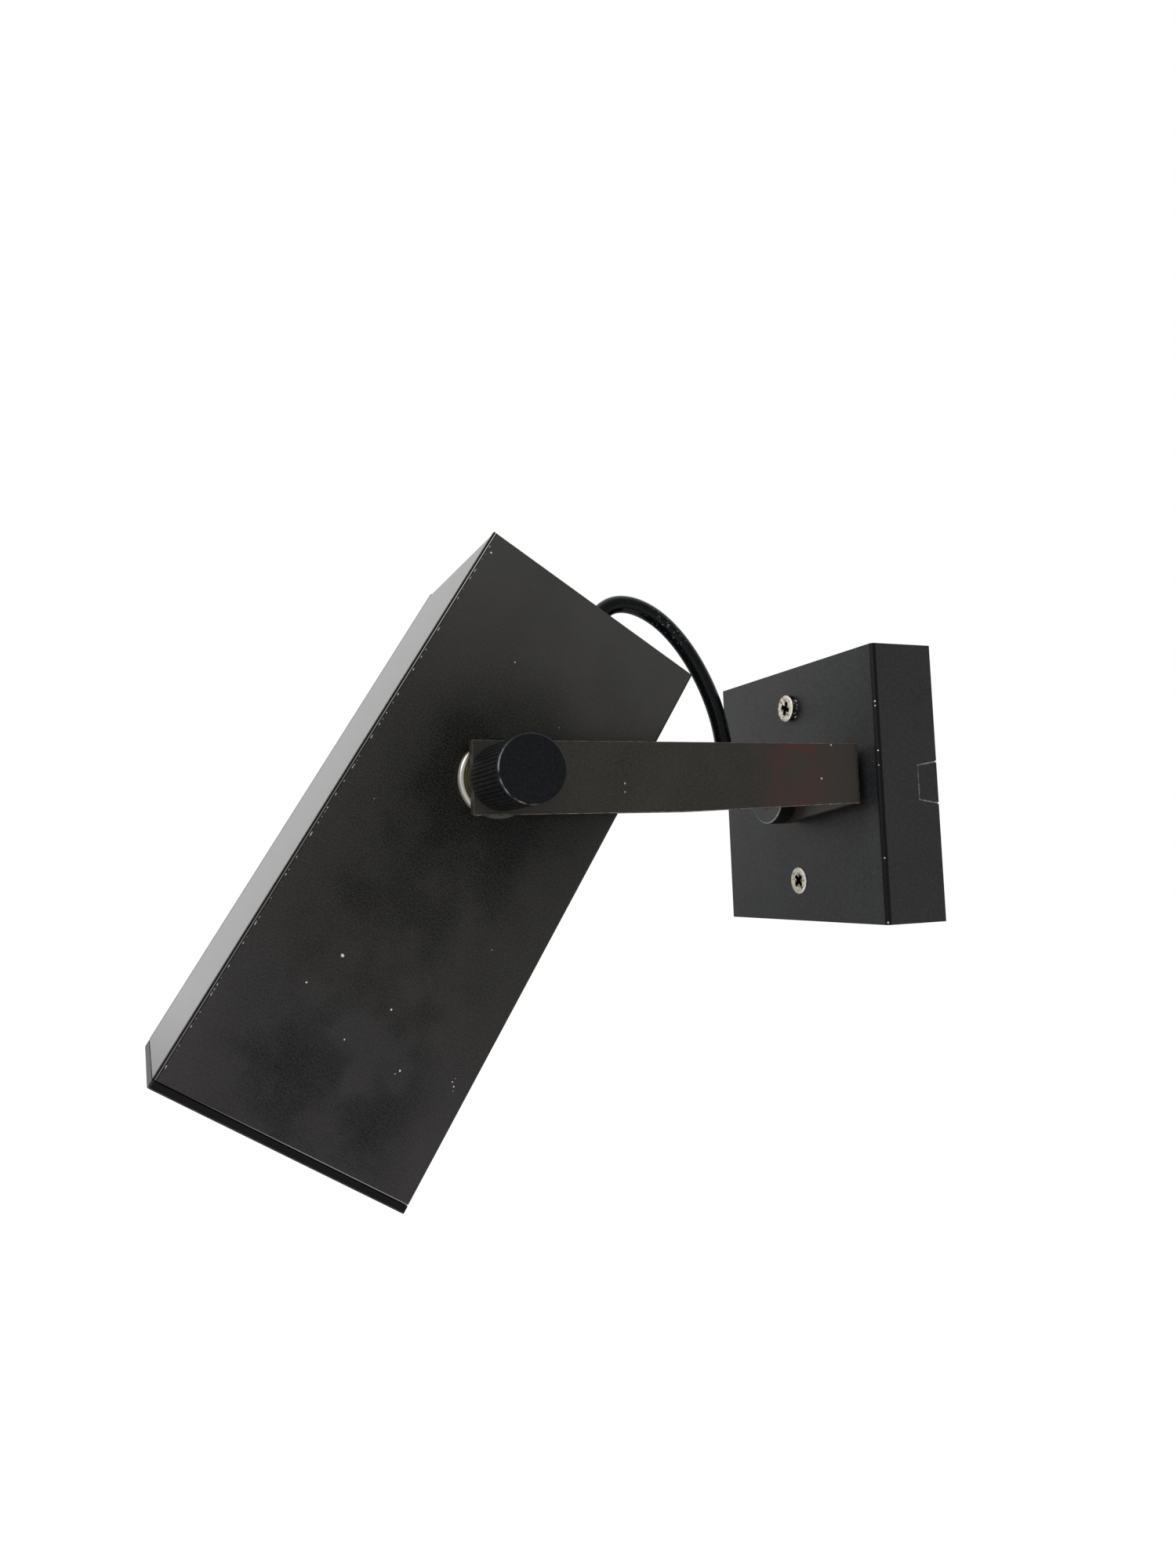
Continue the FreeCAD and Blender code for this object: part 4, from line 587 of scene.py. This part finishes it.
# ---- tilt joint: disc and knob -------------------------------------------------------------
# Disc between shade and arm: turned steel with a yellow passivated face and a rim painted
# as a reflection, bright toward the room. Round black knob of moulded phenolic with fine
# ridges, worn pale at the tips.
PIVOT = (0.0, -0.140, 0.0025)
DISC_RADIUS = 11.0
KNOB_RADIUS = 9.0
KNOB_FRONT = 64.3
DISC_BORE = 3.06
DISC_BACK = 35.5
DISC_FRONT = 37.5
DISC_ROUND = 0.9
DISC_ARC = 8
DISC_CHAMFER = 0.2
DISC_STEPS = 160

disc_profile = [(DISC_BACK, DISC_BORE), (DISC_BACK, DISC_RADIUS - DISC_CHAMFER),
                (DISC_BACK + DISC_CHAMFER, DISC_RADIUS)]
for k in range(DISC_ARC + 1):
    lean = math.pi / 2 * k / DISC_ARC
    disc_profile.append((DISC_FRONT - DISC_ROUND * (1 - math.sin(lean)),
                         DISC_RADIUS - DISC_ROUND * (1 - math.cos(lean))))
disc_profile.append((DISC_FRONT, DISC_BORE))
disc = bpy.data.objects.new("disc_turned", turned("disc_turned", disc_profile, DISC_STEPS,
                                                  Matrix.Translation(PIVOT)))
bpy.context.scene.collection.objects.link(disc)
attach(disc, "head")
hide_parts("tilt_disc")
disc_steel, tree, shader = surface("turned_passivated_steel")
place = in_millimetres(tree, 0.0, [1000 * value for value in PIVOT])
axes = add(tree, "ShaderNodeSeparateXYZ", {"Vector": place}).outputs
flat = add(tree, "ShaderNodeCombineXYZ", {"Y": axes["Y"], "Z": axes["Z"]}).outputs["Vector"]
reach = add(tree, "ShaderNodeVectorMath", {0: flat}, operation="LENGTH").outputs["Value"]
rim = add(tree, "ShaderNodeMapRange", {"Value": reach, "From Min": DISC_RADIUS - DISC_ROUND - 0.35,
                                       "From Max": DISC_RADIUS - DISC_ROUND - 0.1}).outputs["Result"]
# tool marks of the lathe, one turn every 0.7 mm
rings = add(tree, "ShaderNodeMath", {0: reach, 1: 9.0}, operation="MULTIPLY").outputs[0]
rings = add(tree, "ShaderNodeMath", {0: rings}, operation="SINE").outputs[0]
stain = add(tree, "ShaderNodeTexNoise", {"Vector": place, "Scale": 0.6, "Detail": 4.0}).outputs["Fac"]
stain = add(tree, "ShaderNodeMath", {0: rings, 1: 0.22, 2: stain}, operation="MULTIPLY_ADD").outputs[0]
face = add(tree, "ShaderNodeMix", {"Factor": stain, "A": linear("#34331f"), "B": linear("#8d8a62")},
           data_type="RGBA").outputs["Result"]
# painted reflection: the rounded rim is painted bright on the side turned to the room,
# mid-grey low down and near black elsewhere
below = add(tree, "ShaderNodeMapRange", {"Value": axes["Z"], "From Min": -4.0,
                                         "From Max": -9.0}).outputs["Result"]
edge = add(tree, "ShaderNodeMix", {"Factor": below, "A": linear("#121210"), "B": linear("#5d5d59")},
           data_type="RGBA").outputs["Result"]
toward = add(tree, "ShaderNodeVectorMath", {0: flat, 1: (0, -0.985, -0.17)},
             operation="DOT_PRODUCT").outputs["Value"]
toward = add(tree, "ShaderNodeMapRange", {"Value": toward, "From Min": 6.6,
                                          "From Max": 8.6}).outputs["Result"]
edge = add(tree, "ShaderNodeMix", {"Factor": toward, "A": edge, "B": linear("#efece0")},
           data_type="RGBA").outputs["Result"]
metal = add(tree, "ShaderNodeMix", {"Factor": rim, "A": face, "B": edge}, data_type="RGBA")
tree.links.new(metal.outputs["Result"], shader.inputs["Base Color"])
relief = add(tree, "ShaderNodeBump", {"Height": rings, "Strength": 0.12, "Distance": 0.0001})
tree.links.new(relief.outputs["Normal"], shader.inputs["Normal"])
shader.inputs["Roughness"].default_value = 0.30
shader.inputs["Metallic"].default_value = 0.75
disc.data.materials.append(disc_steel)
dress(disc_steel, "tilt_disc")

# Black phenolic of the knob: moulded, satin, with dust in its grain and wear on its ridges.
RIDGE_TIP = 0.20
FACE_EDGE = 0.45
FACE_LINE = 0.20
FACE_LINE_HALF = 0.15
phenolic, tree, shader = surface("moulded_black_phenolic")
place = in_millimetres(tree, 0.0, [1000 * value for value in PIVOT])
axes = add(tree, "ShaderNodeSeparateXYZ", {"Vector": place}).outputs
flat = add(tree, "ShaderNodeCombineXYZ", {"Y": axes["Y"], "Z": axes["Z"]}).outputs["Vector"]
reach = add(tree, "ShaderNodeVectorMath", {0: flat}, operation="LENGTH").outputs["Value"]
tip = add(tree, "ShaderNodeMapRange", {"Value": reach, "From Min": KNOB_RADIUS - RIDGE_TIP,
                                       "From Max": KNOB_RADIUS - 0.02}).outputs["Result"]
wear = add(tree, "ShaderNodeTexNoise", {"Vector": place, "Scale": 0.5, "Detail": 4.0}).outputs["Fac"]
wear = add(tree, "ShaderNodeMapRange", {"Value": wear, "From Min": 0.40, "From Max": 0.62}).outputs["Result"]
low = add(tree, "ShaderNodeMapRange", {"Value": axes["Z"], "From Min": -8.0, "From Max": 4.0,
                                       "To Min": 0.11, "To Max": 0.02}).outputs["Result"]
worn = add(tree, "ShaderNodeMath", {0: wear, 1: 0.5, 2: 0.5}, operation="MULTIPLY_ADD").outputs[0]
worn = add(tree, "ShaderNodeMath", {0: worn, 1: tip}, operation="MULTIPLY").outputs[0]
worn = add(tree, "ShaderNodeMath", {0: worn, 1: low}, operation="MULTIPLY").outputs[0]
# a broken pale line round the front face, on the side turned to the room and down
front = add(tree, "ShaderNodeMath", {0: axes["X"], 1: KNOB_FRONT - FACE_EDGE},
            operation="GREATER_THAN").outputs[0]
line = add(tree, "ShaderNodeMath", {0: reach, 1: KNOB_RADIUS - FACE_LINE, 2: FACE_LINE_HALF},
           operation="COMPARE").outputs[0]
edge = add(tree, "ShaderNodeMath", {0: front, 1: line}, operation="MULTIPLY").outputs[0]
toward = add(tree, "ShaderNodeVectorMath", {0: flat, 1: (0, -0.110, -0.055)},
             operation="DOT_PRODUCT").outputs["Value"]
toward = add(tree, "ShaderNodeMapRange", {"Value": toward, "From Min": 0.25,
                                          "From Max": 0.85}).outputs["Result"]
edge = add(tree, "ShaderNodeMath", {0: edge, 1: toward}, operation="MULTIPLY").outputs[0]
edge = add(tree, "ShaderNodeMath", {0: edge, 1: wear}, operation="MULTIPLY", use_clamp=True).outputs[0]
worn = add(tree, "ShaderNodeMath", {0: worn, 1: edge}, operation="MAXIMUM").outputs[0]
grain = add(tree, "ShaderNodeTexNoise", {"Vector": place, "Scale": 1.6, "Detail": 4.0}).outputs["Fac"]
dusty = add(tree, "ShaderNodeMapRange", {"Value": grain, "From Min": 0.36,
                                         "From Max": 0.66}).outputs["Result"]
black = add(tree, "ShaderNodeMix", {"Factor": dusty, "A": linear("#06080a"), "B": linear("#13161a")},
            data_type="RGBA").outputs["Result"]
sides = add(tree, "ShaderNodeMath", {0: axes["X"], 1: KNOB_FRONT - 1.0}, operation="LESS_THAN").outputs[0]
black = add(tree, "ShaderNodeMix", {"Factor": sides, "A": black, "B": linear("#030304")},
            data_type="RGBA").outputs["Result"]
black = add(tree, "ShaderNodeMix", {"Factor": worn, "A": black, "B": linear("#77787a")},
            data_type="RGBA").outputs["Result"]
complete(tree, shader, black, grain, (0.38, 0.55), (0.25, 0.0003), 1.34)
dress(phenolic, "tilt_knob")


# ---- shade ---------------------------------------------------------------------------------
# Square tube of two folded 1.5 mm aluminium sheets, anodised dark bronze to a satin sheen.
# The seam is painted with a black band of shade and a thin pale line in it, and knocks
# have left small pale specks and chips.
SHADE_TILT = math.radians(57.5)
SHADE_HALF = 35.5
SHADE_WALL = 1.5
SHADE_MOUTH = -105.7
# how far below the upper corner the seam's lines lie
SEAM_DARK = 1.0
SEAM_LINE = 0.61
SEAM_LINE_HALF = 0.12
SEAM_FLECKS = 1.17
SEAM_FLECK_HALF = 0.13
BEND_LINE = 0.25
MOUTH_LINE = 0.2
SKIN = 0.3
# (along the shade, across it, size) in mm from the pivot, on the side with the knob
SIDE_MARKS = [
    (-60.1, 11.7, 0.75), (-70.0, 16.1, 0.5), (-65.9, -6.2, 0.35), (-77.7, 0.5, 0.4), (-78.0, -16.1, 0.5),
    (-79.2, -15.4, 0.3), (52.9, 33.2, 0.4), (-74.3, -29.9, 0.4), (-75.2, -30.8, 0.4), (-73.2, -30.2, 0.3),
    (-76.3, -31.2, 0.3), (30.5, 12.0, 0.35), (22.0, -8.0, 0.3), (-22.0, 25.5, 0.3), (-40.0, -22.0, 0.3),
]


def anodised_sheet(name, edge_from, gloss, index):
    """Satin anodised aluminium with its worn seam, its smudges, a painted shadow round the pivot and its
    marks.
    """
    material, tree, shader = surface(name)
    place = in_millimetres(tree, -SHADE_TILT, [1000 * value for value in PIVOT])
    axes = add(tree, "ShaderNodeSeparateXYZ", {"Vector": place}).outputs
    # grey-brown at the rear, darkest round the middle, a little purple near the mouth
    forward = add(tree, "ShaderNodeMapRange", {"Value": axes["Y"], "From Min": 58.0, "From Max": 2.0},
                  interpolation_type="SMOOTHSTEP").outputs["Result"]
    bronze = add(tree, "ShaderNodeMix", {"Factor": forward, "A": linear("#3a3938"), "B": linear("#2a2926")},
                 data_type="RGBA").outputs["Result"]
    to_mouth = add(tree, "ShaderNodeMapRange", {"Value": axes["Y"], "From Min": -45.0, "From Max": -100.0},
                   interpolation_type="SMOOTHSTEP").outputs["Result"]
    bronze = add(tree, "ShaderNodeMix", {"Factor": to_mouth, "A": bronze, "B": linear("#333032")},
                 data_type="RGBA").outputs["Result"]
    # soft dark smudges 15 to 40 mm wide left by hands, and a painted shadow round the pivot
    # where the knob and arm shade the side
    cloud = add(tree, "ShaderNodeTexNoise", {"Vector": place, "Scale": 0.026, "Detail": 2.0}).outputs["Fac"]
    cloud = add(tree, "ShaderNodeMapRange", {"Value": cloud, "From Min": 0.36, "From Max": 0.64},
                interpolation_type="SMOOTHSTEP").outputs["Result"]
    spots = add(tree, "ShaderNodeTexNoise", {"Vector": place, "Scale": 0.062, "Detail": 3.0}).outputs["Fac"]
    spots = add(tree, "ShaderNodeMapRange", {"Value": spots, "From Min": 0.36, "From Max": 0.66},
                interpolation_type="SMOOTHSTEP").outputs["Result"]
    spots = add(tree, "ShaderNodeMath", {0: cloud, 1: 0.45, 2: spots}, operation="MULTIPLY_ADD").outputs[0]
    to_pivot = add(tree, "ShaderNodeVectorMath", {0: place, 1: (SHADE_HALF, 0, 0)},
                   operation="DISTANCE").outputs["Value"]
    pivot_painted_shadow = add(tree, "ShaderNodeMapRange", {"Value": to_pivot, "From Min": 11.0, "From Max": 37.0,
                                                   "To Min": 0.62, "To Max": 0.0},
                      interpolation_type="SMOOTHSTEP").outputs["Result"]
    # the strips beside the folds are handled less and stay lighter
    from_fold = add(tree, "ShaderNodeMath", {0: axes["Z"]}, operation="ABSOLUTE").outputs[0]
    from_fold = add(tree, "ShaderNodeMapRange", {"Value": from_fold, "From Min": SHADE_HALF, "From Max": 16.0,
                                                 "To Min": 0.0, "To Max": 0.55},
                    interpolation_type="SMOOTHSTEP").outputs["Result"]
    off_rear = add(tree, "ShaderNodeMapRange", {"Value": axes["Y"], "From Min": 26.0, "From Max": -8.0,
                                                "To Min": 0.22, "To Max": 1.0},
                   interpolation_type="SMOOTHSTEP").outputs["Result"]
    smudges_and_painted_shadow = add(tree, "ShaderNodeMath", {0: spots, 1: from_fold}, operation="MULTIPLY").outputs[0]
    smudges_and_painted_shadow = add(tree, "ShaderNodeMath", {0: smudges_and_painted_shadow, 1: off_rear}, operation="MULTIPLY").outputs[0]
    smudges_and_painted_shadow = add(tree, "ShaderNodeMath", {0: smudges_and_painted_shadow, 1: pivot_painted_shadow},
                 operation="ADD", use_clamp=True).outputs[0]
    bronze = add(tree, "ShaderNodeMix", {"Factor": smudges_and_painted_shadow, "A": bronze, "B": linear("#12110f")},
                 data_type="RGBA").outputs["Result"]
    # fine grain of the oxide, drawn about 0.5 mm coarse so that it shows
    bronze = speckled(tree, place, 2.0, 0.22, bronze, "#454340")
    rub = add(tree, "ShaderNodeTexNoise", {"Vector": place, "Scale": 0.8, "Detail": 4.0}).outputs["Fac"]
    # along the seam: a black band of painted shade on the side's upper edge, a thin pale line
    # in it, and a row of flecks
    near = add(tree, "ShaderNodeMath", {0: axes["X"], 1: SHADE_HALF - SKIN},
               operation="GREATER_THAN").outputs[0]
    down = add(tree, "ShaderNodeMath", {0: axes["Z"], 1: -1.0, 2: SHADE_HALF},
               operation="MULTIPLY_ADD").outputs[0]
    aside = add(tree, "ShaderNodeMath", {0: axes["X"]}, operation="ABSOLUTE").outputs[0]
    lip = add(tree, "ShaderNodeMath", {0: aside, 1: edge_from}, operation="GREATER_THAN").outputs[0]
    seam_painted_shade = add(tree, "ShaderNodeMath", {0: down, 1: SEAM_DARK}, operation="LESS_THAN").outputs[0]
    seam_painted_shade = add(tree, "ShaderNodeMath", {0: seam_painted_shade, 1: lip}, operation="MULTIPLY").outputs[0]
    bronze = add(tree, "ShaderNodeMix", {"Factor": seam_painted_shade, "A": bronze, "B": linear("#060606")},
                 data_type="RGBA").outputs["Result"]
    line = add(tree, "ShaderNodeMath", {0: down, 1: SEAM_LINE, 2: SEAM_LINE_HALF},
               operation="COMPARE").outputs[0]
    line = add(tree, "ShaderNodeMath", {0: line, 1: near}, operation="MULTIPLY").outputs[0]
    bright = add(tree, "ShaderNodeMapRange", {"Value": axes["Y"], "From Min": -20.0, "From Max": 50.0,
                                              "To Min": 0.28, "To Max": 0.75}).outputs["Result"]
    line = add(tree, "ShaderNodeMath", {0: line, 1: bright}, operation="MULTIPLY").outputs[0]
    flecks = add(tree, "ShaderNodeMath", {0: down, 1: SEAM_FLECKS, 2: SEAM_FLECK_HALF},
                 operation="COMPARE").outputs[0]
    bend = add(tree, "ShaderNodeMath", {0: axes["Z"], 1: BEND_LINE - SHADE_HALF},
               operation="LESS_THAN").outputs[0]
    rows = add(tree, "ShaderNodeMath", {0: flecks, 1: bend}, operation="MAXIMUM").outputs[0]
    rows = add(tree, "ShaderNodeMath", {0: rows, 1: near}, operation="MULTIPLY").outputs[0]
    dashes = add(tree, "ShaderNodeMapping", {"Vector": place, "Scale": (0.2, 0.75, 0.2)}).outputs["Vector"]
    dashes = add(tree, "ShaderNodeTexNoise", {"Vector": dashes, "Scale": 1.0, "Detail": 3.0}).outputs["Fac"]
    dashes = add(tree, "ShaderNodeMapRange", {"Value": dashes, "From Min": 0.55, "From Max": 0.62,
                                              "To Min": 0.0, "To Max": 0.65}).outputs["Result"]
    bare = add(tree, "ShaderNodeMath", {0: rows, 1: dashes}, operation="MULTIPLY").outputs[0]
    bare = add(tree, "ShaderNodeMath", {0: bare, 1: line}, operation="MAXIMUM").outputs[0]
    # painted highlight: a thin pale line at the mouth, against the front frame, where the
    # edge catches light, clearer toward the underside
    mouth = add(tree, "ShaderNodeMath", {0: axes["Y"], 1: SHADE_MOUTH + MOUTH_LINE},
                operation="LESS_THAN").outputs[0]
    clear = add(tree, "ShaderNodeMapRange", {"Value": axes["Z"], "From Min": 27.0, "From Max": -5.0,
                                             "To Min": 0.0, "To Max": 0.42}).outputs["Result"]
    mouth = add(tree, "ShaderNodeMath", {0: mouth, 1: clear}, operation="MULTIPLY").outputs[0]
    bare = add(tree, "ShaderNodeMath", {0: bare, 1: mouth}, operation="MAXIMUM").outputs[0]
    bare = marked(tree, bare, place, rub, 0.6, [(SHADE_HALF, *mark) for mark in SIDE_MARKS])
    coat = add(tree, "ShaderNodeMix", {"Factor": bare, "A": bronze, "B": linear("#c4c2ba")},
               data_type="RGBA").outputs["Result"]
    grain = add(tree, "ShaderNodeTexNoise", {"Vector": place, "Scale": 2.6, "Detail": 3.0}).outputs["Fac"]
    complete(tree, shader, coat, grain, gloss, (0.12, 0.0002), index)
    return material


# only the channel carries the painted shade at the seam, so the cover's starts off the part
dress(anodised_sheet("anodised_channel", SHADE_HALF - SHADE_WALL - 0.1, (0.38, 0.52), 1.42), "shade_channel")
dress(anodised_sheet("anodised_cover", SHADE_HALF + 1.0, (0.20, 0.30), 1.54), "shade_cover")

# Front frame: aluminium, anodised near-black. Its front edges are rubbed to a thin line.
FRAME_FACE = -108.0
FRAME_LINE = 0.35
frame_metal, tree, shader = surface("anodised_front_frame")
place = in_millimetres(tree, -SHADE_TILT, [1000 * value for value in PIVOT])
axes = add(tree, "ShaderNodeSeparateXYZ", {"Vector": place}).outputs
cloud = add(tree, "ShaderNodeTexNoise", {"Vector": place, "Scale": 0.09, "Detail": 4.0}).outputs["Fac"]
black = add(tree, "ShaderNodeMix", {"Factor": cloud, "A": linear("#060709"), "B": linear("#0c0d10")},
            data_type="RGBA").outputs["Result"]
rub = add(tree, "ShaderNodeTexNoise", {"Vector": place, "Scale": 0.4, "Detail": 3.0}).outputs["Fac"]
edge = add(tree, "ShaderNodeMath", {0: axes["Y"], 1: FRAME_FACE + FRAME_LINE},
           operation="LESS_THAN").outputs[0]
edge = add(tree, "ShaderNodeMath", {0: edge, 1: rub}, operation="MULTIPLY").outputs[0]
edge = add(tree, "ShaderNodeMath", {0: edge, 1: 0.5}, operation="MULTIPLY").outputs[0]
black = add(tree, "ShaderNodeMix", {"Factor": edge, "A": black, "B": linear("#6b6b6d")},
            data_type="RGBA").outputs["Result"]
grain = add(tree, "ShaderNodeTexNoise", {"Vector": place, "Scale": 2.0, "Detail": 3.0}).outputs["Fac"]
complete(tree, shader, black, grain, (0.38, 0.50), None, 1.34)
dress(frame_metal, "front_bezel")


# ---- lamp and holder ------------------------------------------------------------------------
# White porcelain holder with a smooth glaze, and a reflector lamp of pale glass, which is
# frosted to a fine even grain.
dress(mottled("glazed_porcelain", 0.05, 2.0, "#e9e4d8", "#dcd6c6", 0.12), "lampholder")
dress(mottled("frosted_lamp_glass", 0.7, 3.0, "#d9d9d5", "#e6e6e2", 0.35), "lamp_bulb")


# ---- floor, light and sky ---------------------------------------------------------------------
# Plain pale floor well below the light, a broad soft lamp from above the camera's left
# and an even white surround. Reflections see both dimmer, so that the black stays deep.
FLOOR_HALF = 4.0
FLOOR_LEVEL = -0.26
LAMP_PLACE = (0.45, -0.95, 0.85)
LAMP_AIM = (0.0, -0.10, 0.0)
LAMP_SIZE = 0.8
LAMP_POWER = 8.0
floor_mesh = bpy.data.meshes.new("floor")
floor_mesh.from_pydata([(x * FLOOR_HALF, y * FLOOR_HALF, FLOOR_LEVEL)
                        for x, y in ((-1, -1), (1, -1), (1, 1), (-1, 1))], [], [(0, 1, 2, 3)])
floor = bpy.data.objects.new("floor", floor_mesh)
bpy.context.scene.collection.objects.link(floor)
pale, tree, shader = surface("pale_floor")
shader.inputs["Base Color"].default_value = linear("#f4f4f4")
shader.inputs["Roughness"].default_value = 0.9
rays = add(tree, "ShaderNodeLightPath").outputs
seen = add(tree, "ShaderNodeMath", {0: rays["Is Camera Ray"], 1: rays["Is Glossy Ray"]},
           operation="MAXIMUM").outputs[0]
seen = add(tree, "ShaderNodeMath", {0: seen, 1: rays["Is Transmission Ray"]}, operation="MAXIMUM").outputs[0]
seen = add(tree, "ShaderNodeMath", {0: seen, 1: 0.8}, operation="MULTIPLY").outputs[0]
strength = add(tree, "ShaderNodeMapRange", {"Value": rays["Is Glossy Ray"], "To Min": 1.10,
                                            "To Max": 0.30}).outputs["Result"]
glow = add(tree, "ShaderNodeEmission", {"Color": (1, 1, 1, 1), "Strength": strength}).outputs[0]
mixed = add(tree, "ShaderNodeMixShader", {0: seen, 1: shader.outputs[0], 2: glow}).outputs[0]
tree.links.new(mixed, tree.nodes["Material Output"].inputs["Surface"])
floor_mesh.materials.append(pale)

world = bpy.data.worlds.new("white_surround")
world.use_nodes = True
bpy.context.scene.world = world
tree = world.node_tree
background = tree.nodes["Background"]
rays = add(tree, "ShaderNodeLightPath").outputs
direction = add(tree, "ShaderNodeTexCoord").outputs["Generated"]
across = add(tree, "ShaderNodeVectorMath", {0: direction, 1: (1.0, 0.0, 0.0)},
             operation="DOT_PRODUCT").outputs["Value"]
dimmer = add(tree, "ShaderNodeMapRange", {"Value": across, "From Min": -0.3, "From Max": 0.6,
                                          "To Min": 1.0, "To Max": 0.22}).outputs["Result"]
glossy = add(tree, "ShaderNodeMix", {"Factor": rays["Is Glossy Ray"], "A": 0.72, "B": dimmer},
             data_type="FLOAT").outputs["Result"]
seen = add(tree, "ShaderNodeMath", {0: rays["Is Camera Ray"], 1: rays["Is Transmission Ray"]},
           operation="MAXIMUM").outputs[0]
strength = add(tree, "ShaderNodeMix", {"Factor": seen, "A": glossy, "B": 1.0},
               data_type="FLOAT").outputs["Result"]
tree.links.new(strength, background.inputs["Strength"])
background.inputs["Color"].default_value = (1, 1, 1, 1)

lamp_data = bpy.data.lights.new("key_lamp", "AREA")
lamp_data.shape = "SQUARE"
lamp_data.size = LAMP_SIZE
lamp_data.energy = LAMP_POWER
key_lamp = bpy.data.objects.new("key_lamp", lamp_data)
key_lamp.location = LAMP_PLACE
key_lamp.rotation_euler = (Vector(LAMP_AIM) - Vector(LAMP_PLACE)).to_track_quat("-Z", "Y").to_euler()
bpy.context.scene.collection.objects.link(key_lamp)
